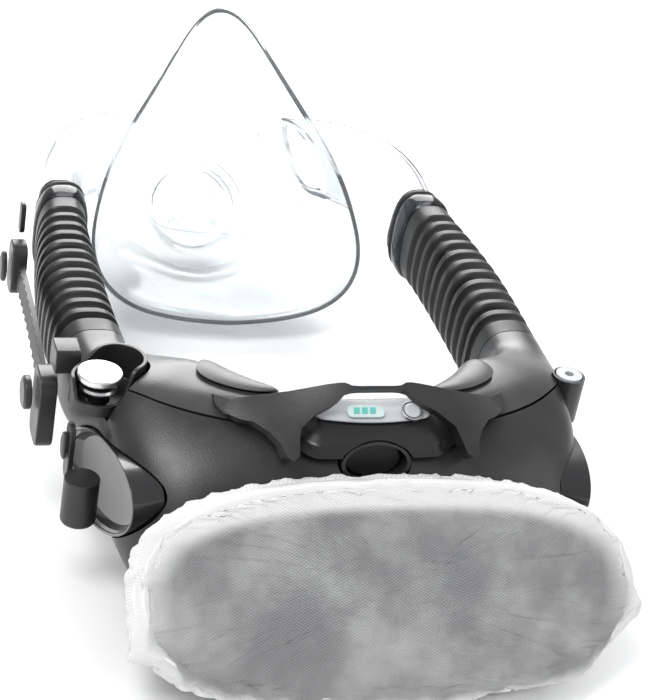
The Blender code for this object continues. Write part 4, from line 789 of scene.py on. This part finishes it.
def shell_height(x, y):
    """Height of the shells' outside above the points (x, y), for places behind the crest."""
    knots = np.linspace(6.0, 11.0, 41)
    angle = np.arctan2(x, NECK_CENTRE_Y - y).ravel()
    lines = skin(angle, knots)
    reach = np.maximum.accumulate(np.hypot(lines[..., 0], lines[..., 1] - NECK_CENTRE_Y), axis=1)
    away = np.hypot(x, y - NECK_CENTRE_Y).ravel()
    found = [np.interp(one, row, line[:, 2]) for one, row, line in zip(away, reach, lines)]
    return np.array(found).reshape(x.shape)


def make_yoke():
    """Arch whose two edges are shares of the way from its crest line to the line of its feet."""
    half = np.unique(np.concatenate([np.linspace(0, YOKE_HALF_WIDTH, 49), YOKE_SPOTS]))
    x = np.concatenate([-half[:0:-1], half])
    far = np.abs(x)
    share = far / YOKE_HALF_WIDTH
    top_y = (-61.9 + 14.9 * share**2) * MM
    top_z = (67.2 - 10.2 * share**2) * MM
    upper = np.interp(far, YOKE_SPOTS, YOKE_TOP)[:, None]
    lower = np.interp(far, YOKE_SPOTS, YOKE_LOW)[:, None]
    down = upper + (lower - upper) * np.linspace(0, 1, 12)[None, :]
    y = top_y[:, None] + (YOKE_FEET_Y - top_y)[:, None] * down
    z = top_z[:, None] + (YOKE_FEET_Z - top_z)[:, None] * down
    outer = np.stack([np.broadcast_to(x[:, None], y.shape), y, z], axis=-1)
    foot = np.clip(down, 0, 1)[..., None] ** 1.4
    inner = outer + (1 - foot) * YOKE_THICK * YOKE_INWARD - foot * YOKE_FOOT * FILTER.axes[2]
    under = shell_height(inner[..., 0], inner[..., 1]) + 1.5 * GAP
    inner[..., 2] = np.maximum(inner[..., 2], under)
    outer[..., 2] = np.maximum(outer[..., 2], inner[..., 2] + YOKE_LEAST_WALL)
    piece("filter_yoke", slab(outer, inner), edge=0.4 * MM)


def make_side_covers():
    """Dished oval covers: rings out to a rim with two fine steps, then down a skirt."""
    size, squash = COVER_HALF[0], COVER_HALF[1] / COVER_HALF[0]
    skirt, skirt_low = size - WALL, -9.0 * MM
    dish = np.linspace(0.05, 0.82, 12)
    front = [(size * s, (-4.9 + 1.9 * (s / 0.82) ** 3) * MM) for s in dish][::-1]
    rows = [(size * s, (-6.6 + 1.6 * (s / 0.9) ** 3) * MM) for s in np.linspace(0.05, 0.9, 8)]
    rows += [(skirt, -3.6 * MM), (skirt, skirt_low), (size, skirt_low)]
    rows += [(size, 1.1 * MM), (size - 0.6 * MM, 1.2 * MM)]
    rows += [(size * s, h * MM) for s, h in ((0.955, 0.8), (0.95, 0.3), (0.90, -0.6), (0.895, -1.1))]
    for side, word in SIDES:
        cover = disc(side_place(side), rows + front, 96, squash)
        piece(f"side_cover_{word}", cover, edge=0.12 * MM, sharp=30.0)


# ---- hoses and ducts ----
HOSE_BOW, HOSE_INWARD, HOSE_LINER = 2.5 * MM, 3.5 * MM, 0.6 * MM


def hose_path(side, share):
    """Half a sine wave outwards, drawn in and climbing evenly towards the mask."""
    x = side * (PORT_X + HOSE_BOW * np.sin(math.pi * share) - HOSE_INWARD * share)
    return np.stack([x, NECK_CENTRE_Y + HOSE_LENGTH * share, PORT_Z + HOSE_CLIMB * share], axis=-1)


def hose_rings(side, share, grow, sides=56):
    """Ovals square to the path, narrowing from the port to the cuff, each grown by its own amount."""
    share, grow = np.broadcast_arrays(np.asarray(share, float), grow)
    angle = bearings(sides)
    width = HOSE_WIDTH + (CUFF_WIDTH - HOSE_WIDTH) * smoothstep((share - 0.35) / 0.65)
    unit_x, unit_z = oval(angle, 1.0, 1.0)
    across = unit_x * (width / 2 + grow)[:, None]
    up = unit_z * (HOSE_HEIGHT / 2 + grow)[:, None]
    return hose_path(side, share)[:, None, :] + np.stack([across, 0 * across, up], axis=-1)


HOSE_GAP = GAP / HOSE_LENGTH
CUFF_START = 1 - 9.0 * MM / HOSE_LENGTH
BELLOWS_START, BELLOWS_END, RIB_DEPTH = 0.075, CUFF_START - 0.05, 2.2 * MM
BELLOWS_WALL, BEND_MARGIN = 1.2 * MM, 0.02
RIBS = {"left": 12, "right": 11}


def make_hoses():
    """Bellows: the ovals grow and shrink as a rounded square wave along the path."""
    share = np.linspace(HOSE_GAP, CUFF_START - HOSE_GAP, 220)
    for side, (word, ribs) in zip((-1, 1), RIBS.items()):
        phase = (share - BELLOWS_START) / (BELLOWS_END - BELLOWS_START) * ribs
        wave = smoothstep((np.sin(2 * math.pi * (phase - 0.05)) + 0.45) / 0.9)
        inside = (phase > 0) & (phase < ribs)
        grow = np.where(inside, -RIB_DEPTH * wave, 0.0)
        bore = hose_rings(side, share[[0, 55, 110, 165, -1]], -RIB_DEPTH - BELLOWS_WALL)
        limits = (BEND_MARGIN, CUFF_START - BEND_MARGIN)
        ends = [tuple(map(float, hose_path(side, np.array(at)) + BENCH)) for at in limits]
        piece(f"bellows_{word}", tube(hose_rings(side, share, grow), bore), sharp=60.0, bends=ends)


def make_cuffs():
    """A cuff with a shallow swell over each hose's end, and a round bead in front of it."""
    for side, word in SIDES:
        place = np.array([CUFF_START, CUFF_START + 0.006, CUFF_START + 0.02, 0.97, 0.99, 1.0 - HOSE_GAP])
        rise = np.array([0.2, 0.6, 1.0, 0.9, 0.6, 0.2]) * MM
        cuff = tube(hose_rings(side, place, rise), hose_rings(side, place, -HOSE_LINER))
        piece(f"front_cuff_{word}", cuff, finish=SMOKED, edge=0.1 * MM)
        bead = 1.0 + np.linspace(0, 2.4 * MM / HOSE_LENGTH, 9)
        swell = np.sqrt(np.clip(1 - np.linspace(-1, 1, 9) ** 2, 0.0, 1)) * 1.1 * MM - 0.5 * MM
        piece(f"o_ring_{word}", tube(hose_rings(side, bead, swell), hose_rings(side, bead, -HOSE_LINER)))


DUCT_BENDS = np.array([[67, 130, 46], [57, 147, 46], [42, 160, 44], [22, 167, 41]]) * MM
DUCT_WALL = 1.8 * MM


def duct_centre(side, share):
    """Straight on from the hose's end, then through the bends towards the middle of the mask."""
    start = hose_path(side, np.array(1.0))
    points = [start + (0.0, -4.0 * MM, 0.0), start + (0.0, 12.0 * MM, 0.6 * MM)]
    points = np.array([*points, *(DUCT_BENDS * (side, 1, 1))])
    at = np.linspace(0, 1, len(points))
    return np.stack([np.interp(share, at, points[:, axis]) for axis in range(3)], axis=-1)


def duct_rings(side, share, shrink, sides=56):
    """Ovals square to the centre line, which is smoothed by a running mean."""
    spread = np.linspace(-0.12, 0.12, 9)[None, :] + share[:, None]
    centre, ahead, behind = (
        duct_centre(side, np.clip(spread + step, 0, 1)).mean(axis=1) for step in (0, 0.06, -0.06)
    )
    way = ahead - behind
    way /= np.linalg.norm(way, axis=-1, keepdims=True)
    wide = np.cross(way, (0.0, 0.0, 1.0))
    wide /= np.linalg.norm(wide, axis=-1, keepdims=True)
    tall = np.cross(wide, way)
    angle = bearings(sides)
    half_width, half_height = CUFF_WIDTH / 2 - HOSE_LINER - shrink, HOSE_HEIGHT / 2 - HOSE_LINER - shrink
    across, up = oval(angle, half_width, half_height)
    sideways = across[None, :, None] * wide[:, None, :]
    return centre[:, None, :] + sideways + up[None, :, None] * tall[:, None, :]


# ---- mask ----
SEAL_HEIGHT, SEAL_HALF_WIDTH, MASK_DEPTH = 129.0 * MM, 55.0 * MM, 57.0 * MM
VALVE_UP, VALVE_RADIUS, CHIN_FLAT = 57.0 * MM, 19.5 * MM, 1.15
MASK_WALL, MASK_FOOT = 1.8 * MM, 2.0 * MM
LIP_SHARES, LIP_HEIGHTS = [0, 0.02, 0.10, 0.35, 0.7, 1.0], [1.4, -0.2, -1.2, -0.4, 2.5, 7.0]
SEAL_UP = np.array([0.0, 0.012, 0.04, 0.09, 0.165, 0.26, 0.36, 0.46, 0.58, 0.70, 0.83, 0.93, 0.985, 1.0])
SEAL_WIDE = np.array([0.0, 0.36, 0.66, 0.86, 0.98, 1.0, 0.95, 0.88, 0.74, 0.56, 0.37, 0.22, 0.10, 0.0])
LIP_UP = np.array([0.29, 0.292, 0.30, 0.32, 0.36, 0.42, 0.50, 0.58, 0.66, 0.74, 0.82, 0.89, 0.93, 0.94])
LIP_WIDE = np.array([0.0, 0.22, 0.42, 0.53, 0.58, 0.56, 0.45, 0.30, 0.20, 0.16, 0.13, 0.10, 0.05, 0.0])


def eased(loop, passes=6):
    """Each point drawn a little towards the middle of its neighbours, so that corners turn into curves."""
    for _ in range(passes):
        loop = 0.5 * loop + 0.25 * (np.roll(loop, 1, axis=0) + np.roll(loop, -1, axis=0))
    return loop


def outline(up, wide, sides=120):
    """Points evenly round a symmetrical outline, from its lowest point."""
    right = np.stack([wide * SEAL_HALF_WIDTH, up * SEAL_HEIGHT], axis=-1)
    loop = np.concatenate([right, right[-2:0:-1] * (-1, 1), right[:1]])
    length = np.concatenate([[0], np.cumsum(np.linalg.norm(np.diff(loop, axis=0), axis=1))])
    at = np.arange(sides) / sides * length[-1]
    return eased(np.stack([np.interp(at, length, loop[:, axis]) for axis in range(2)], axis=-1))


def mask_loop(share, spread=0.0):
    """Ring of the dome: share 0 is the seal's outline and share 1 the valve seat."""
    seal = outline(SEAL_UP, SEAL_WIDE)
    away = seal - (0.0, 0.45 * SEAL_HEIGHT)
    away /= np.linalg.norm(away, axis=1, keepdims=True)
    bearing = np.arctan2(seal[:, 1] - VALVE_UP, seal[:, 0])
    seat = np.stack([np.cos(bearing), np.sin(bearing)], axis=-1) * (VALVE_RADIUS + 1.5 * MM)
    seat[:, 1] += VALVE_UP
    rise = math.sin(share * math.pi / 2) ** 0.9
    low = smoothstep((VALVE_UP - seal[:, 1:]) / VALVE_UP)
    inward = smoothstep(share) * 0.35 + 0.65 * share**2.2
    inward = inward + (rise * 0.9 - inward) * low * CHIN_FLAT * 4 * share * (1 - share)
    flat = seal + (seat - seal) * inward + away * spread * (1 - share)
    return MASK.at(flat[:, 0], flat[:, 1], MASK_FOOT + (MASK_DEPTH - MASK_FOOT) * rise + spread * share)


def make_mask():
    """The dome with its two duct holes, the ducts trimmed to it, and the lip that rolls inwards."""
    shares = np.linspace(0, 1, 26)
    outer = np.array([mask_loop(share) for share in shares])
    inner = np.array([mask_loop(share, -MASK_WALL) for share in shares])
    shell = mesh_object("mask_shell_skin", tube(outer, inner))
    for side in (-1, 1):
        cut(shell, stack(duct_rings(side, np.linspace(0.5, 1.0, 12), DUCT_WALL + 1.0 * MM)))
    dress(shell, "mask_shell", edge=0.2 * MM)
    blank = stack(np.array([mask_loop(share, 1.2 * GAP) for share in shares]))
    for side, word in SIDES:
        share = np.linspace(0.13, 1.0, 30)
        pipe = tube(duct_rings(side, share, 0.0), duct_rings(side, share, DUCT_WALL))
        duct = mesh_object(f"clear_duct_{word}_skin", pipe)
        cut(duct, blank)
        dress(duct, f"clear_duct_{word}", edge=0.15 * MM)
    seal, lip = outline(SEAL_UP, SEAL_WIDE), outline(LIP_UP, LIP_WIDE)
    share = np.linspace(0, 1, 22)
    out = np.interp(share, LIP_SHARES, LIP_HEIGHTS)
    out = np.convolve(np.pad(out, 1, "edge"), [0.25, 0.5, 0.25], "valid")
    face, back = [], []
    for s, o in zip(share, out):
        flat = seal + (lip - seal) * s
        face.append(MASK.at(flat[:, 0], flat[:, 1], o * MM))
        flat = seal + (lip - seal) * np.clip(s, 0.035, 0.995)
        back.append(MASK.at(flat[:, 0], flat[:, 1], (o + 0.25 + 1.05 * smoothstep(s / 0.06)) * MM))
    piece("face_seal", tube(np.array(face), np.array(back)), sharp=60.0)


# ---- filter ----
FILTER_HALF, FILTER_RISE, FILTER_POWER = np.array([78.5, 33.5]) * MM, 1.5 * MM, 2.7
# Each loose corner's bearing, its spread, both in radians, and its reach in millimetres.
COVER_FLAPS = (
    (math.radians(197), math.radians(9), 5.5),
    (math.radians(-8), math.radians(16), 3.0),
    (math.radians(150), 0.25, 2.5),
)
RIM_GROW = np.array([-4.2, -2.6, -1.0, 0.8, 2.2, 3.0, 3.4, 3.4, 3.0, 2.4, 1.8, 1.4, 0.6]) * MM
RIM_OUT = np.array([0.6, 0.5, 0.2, -0.5, -1.6, -3.0, -4.6, -6.4, -8.4, -10.4, -12.2, -13.0, -13.2]) * MM
COVER_SIDES, HEM_SIDES, CLOTH_THICK = 260, 320, 0.45 * MM
CUT_TOO_LARGE, LONGEST_MOVE, INWARD_MOVE = 0.06, 4.0 * MM, 0.3 * MM
DARK_HALF, DARK_DROP = np.array([75.0, 29.5]) * MM, 4.0 * MM


def crumple(obj, held, frames=16):
    """Cloth simulation: the cloth is cut too large and held at its hem, so it buckles into folds.

    held is each point's hold, from 0, free, to 1, fixed. A point hardly moves inwards.
    """
    group = obj.vertex_groups.new(name="held")
    for level in np.unique(held.round(2)):
        group.add(np.flatnonzero(held.round(2) == level).tolist(), float(level), "REPLACE")
    step = obj.modifiers.new("crumple", "CLOTH")
    step.settings.quality = 5
    step.settings.mass = 0.05
    step.settings.tension_stiffness = 10.0
    step.settings.compression_stiffness = 10.0
    step.settings.bending_stiffness = 0.05
    step.settings.vertex_group_mass = "held"
    step.settings.shrink_min = -CUT_TOO_LARGE
    step.settings.use_pressure = True
    step.settings.uniform_pressure_force = 0.4
    step.settings.effector_weights.gravity = 0.2
    step.collision_settings.use_collision = False
    scene = bpy.context.scene
    for number in range(1, frames + 1):
        scene.frame_set(number)
    count = len(obj.data.vertices)
    before, after = np.zeros(count * 3), np.zeros(count * 3)
    obj.data.vertices.foreach_get("co", before)
    obj.evaluated_get(bpy.context.evaluated_depsgraph_get()).data.vertices.foreach_get("co", after)
    obj.modifiers.remove(step)
    before, moved = before.reshape(-1, 3), (after - before).reshape(-1, 3)
    length = np.linalg.norm(moved, axis=1, keepdims=True) + 1e-9
    moved *= np.minimum(1.0, LONGEST_MOVE / length)
    out = moved @ FILTER.axes[2]
    moved -= np.outer(np.minimum(out + INWARD_MOVE, 0.0), FILTER.axes[2])
    obj.data.vertices.foreach_set("co", (before + moved).ravel())
    scene.frame_set(1)


def make_cover():
    """Cloth over the tray: ovals growing from the middle, over the rim and back under to a gathered hem.

    The rim and hem wave in and out with folds that grow towards the hem, and three corners stand out.
    """
    angle = bearings(COVER_SIDES)
    inner = np.linspace(0.02, 0.86, 24)
    fine = np.linspace(0, 1, 40)
    at = np.linspace(0, 1, len(RIM_GROW))
    waves = np.sin(34 * angle + 2.0 * np.sin(3 * angle)) + 0.6 * np.sin(59 * angle + 1.3)
    waves = waves + 0.5 * np.sin(13 * angle)
    flap = 0
    for middle, wide, tall in COVER_FLAPS:
        away = (angle - middle + math.pi) % (2 * math.pi) - math.pi
        flap = flap + MM * tall * np.exp(-((away / wide) ** 2))
    rows = [FILTER.at(*oval(angle, *(FILTER_HALF * share), FILTER_POWER), 0.6 * MM) for share in inner]
    rows = [row + FILTER.axes[1] * FILTER_RISE for row in rows]
    for share, g, o in zip(fine, np.interp(fine, at, RIM_GROW), np.interp(fine, at, RIM_OUT)):
        fold = smoothstep((share - 0.2) / 0.8)
        pull = g - 0.27 * MM * fold * (1.5 + waves) + flap * math.sin(math.pi * min(1.0, share * 1.1)) ** 2
        across, up = oval(angle, FILTER_HALF[0] + pull, FILTER_HALF[1] + pull, FILTER_POWER)
        rows.append(FILTER.at(across, FILTER_RISE + up, o + 0.25 * MM * fold * waves))
    rows = np.array(rows)
    count, size = rows.shape[:2]
    faces = net(count, size, False, True) + [list(range(size))[::-1]]
    obj = mesh_object("prefilter_cover_skin", (rows.reshape(-1, 3), faces))
    if obj.data.polygons[0].normal @ Vector(FILTER.axes[2]) < 0:
        obj.data.flip_normals()
    flat = (rows.reshape(-1, 3) - FILTER.origin) @ FILTER.axes.T
    row = np.repeat(np.arange(count), size)
    face = 0.98 - 0.75 * smoothstep((row / len(inner) - 0.35) / 0.75)
    crumple(obj, np.where(row > count - 5, 1.0, face * (row < len(inner) + 3)))
    dark = np.abs(flat[:, 0] / DARK_HALF[0]) ** FILTER_POWER
    dark = dark + np.abs((flat[:, 1] + DARK_DROP) / DARK_HALF[1]) ** FILTER_POWER
    layer = obj.data.attributes.new("over_filter", "FLOAT", "POINT")
    layer.data.foreach_set("value", (1 - smoothstep((dark - 0.80) / 0.35)) * (flat[:, 2] > -3 * MM))
    uv = obj.data.uv_layers.new(name="flat")
    corner = np.zeros(len(obj.data.loops), np.int32)
    obj.data.loops.foreach_get("vertex_index", corner)
    uv.data.foreach_set("uv", flat[corner][:, :2].ravel())
    thick = obj.modifiers.new("cloth", "SOLIDIFY")
    thick.thickness = CLOTH_THICK
    thick.offset = -1.0
    dress(obj, "prefilter_cover", sharp=80.0)


def make_hem():
    """Elastic in the hem: a thin round band, puckered all the way round."""
    angle = bearings(HEM_SIDES)
    pucker = 0.18 * MM * np.sin(70 * angle) + 0.1 * MM * np.sin(111 * angle + 1)
    rows = []
    for a in bearings(10):
        grow = -0.3 * MM + (0.5 * MM) * math.cos(a) + pucker
        across, up = oval(angle, FILTER_HALF[0] + grow, FILTER_HALF[1] + grow, FILTER_POWER)
        rows.append(FILTER.at(across, FILTER_RISE + up, -13.8 * MM + 0.3 * MM * math.sin(a)))
    piece("cover_elastic", torus(np.array(rows)), sharp=80.0)


# ---- small parts ----
def make_cup():
    """Teardrop cup: its rim is high round the wide end and low in front of the pivot."""
    near = np.array([-POST_X, POST_Y])
    way = CUP_FAR[:2] - near

    def rim(loop):
        along = (loop[:, :2] - near) @ way / (way @ way)
        before_pivot = smoothstep((near[1] - 1.0 * MM - loop[:, 1]) / (4 * MM))
        front = before_pivot * (1 - smoothstep((along - 0.2) / 0.6))
        return (55.4 + 3.6 * smoothstep((along + 0.2) / 1.3) - 6.0 * front) * MM

    outer, inner = cup_loop(0.0, 0.0), cup_loop(-CUP_WALL, 0.0)
    hole = ring(upright(*near), CUP_HOLE, 0.0, len(outer))
    floor = CUP_LOW + CUP_FLOOR
    rows = []
    for loop, height in (
        (outer, CUP_LOW), (outer, rim(outer)), (inner, rim(outer)),
        (inner, floor), (hole, floor), (hole, CUP_LOW),
    ):
        rows.append(np.stack([loop[:, 0], loop[:, 1], height + 0 * loop[:, 0]], axis=-1))
    piece("pivot_cup", torus(np.array(rows)), edge=0.3 * MM)


# Width of the rounded edges in millimetres.
EDGES = {
    "link_block": 0.5, "buckle_block": 0.6, "clip_body": 0.6, "clip_tab": 0.4, "lower_strap": 0.4,
    "strap_stud": 0.25, "buckle_button": 0.35, "clip_button": 0.3, "strap_peg": 0.3,
    "ladder_strap": 0.12, "harness_post_right": 0.3, "post_cap_right": 0.2, "harness_post_left": 0.2,
    "pivot_knob": 0.2, "spring_clip": 0.0, "button_bezel": 0.15, "power_button": 0.2,
    "charge_port_rim": 0.25, "charge_port_plug": 0.2, "battery_display": 0.12, "valve_guard": 0.2,
    "valve_seat": 0.2, "valve_flap": 0.1, "port_spigot_left": 0.2, "port_spigot_right": 0.2,
    "intake_collar": 0.3, "filter_tray": 0.3, "filter_retaining_ring": 0.2, "blower_volute": 0.2,
    "blower_inlet_plate": 0.15, "motor_stator": 0.15, "motor_bearing": 0.1, "motor_shaft": 0.1,
    "impeller": 0.1, "battery_pack_left": 0.8, "battery_pack_right": 0.8, "circuit_board": 0.1,
    "filter_pleats": 0.05,
}


FLOOR_REACH, FLOOR_DROP = 6.0, 0.2 * MM


def make_floor():
    corners = [(x * FLOOR_REACH, y * FLOOR_REACH, 0) for x, y in ((-1, -1), (1, -1), (1, 1), (-1, 1))]
    floor = mesh_object("floor", (corners, [[0, 1, 2, 3]]), False)
    floor.location.z = -FLOOR_DROP
    finish = Finish("pale_floor")
    finish.drive(Base_Color=finish.mix(finish.noise(3.0, 2.0), (0.93, 0.93, 0.93), (0.95, 0.95, 0.95)))
    finish.set(Roughness=0.7)
    floor.data.materials.append(finish.material)


set_camera()
set_light()
make_floor()
make_shells()
make_pads()
make_console()
make_battery_sign()
make_yoke()
make_side_covers()
make_hoses()
make_cuffs()
make_mask()
make_cover()
make_hem()
make_cup()
for node, edge in EDGES.items():
    softened(node, edge * MM)
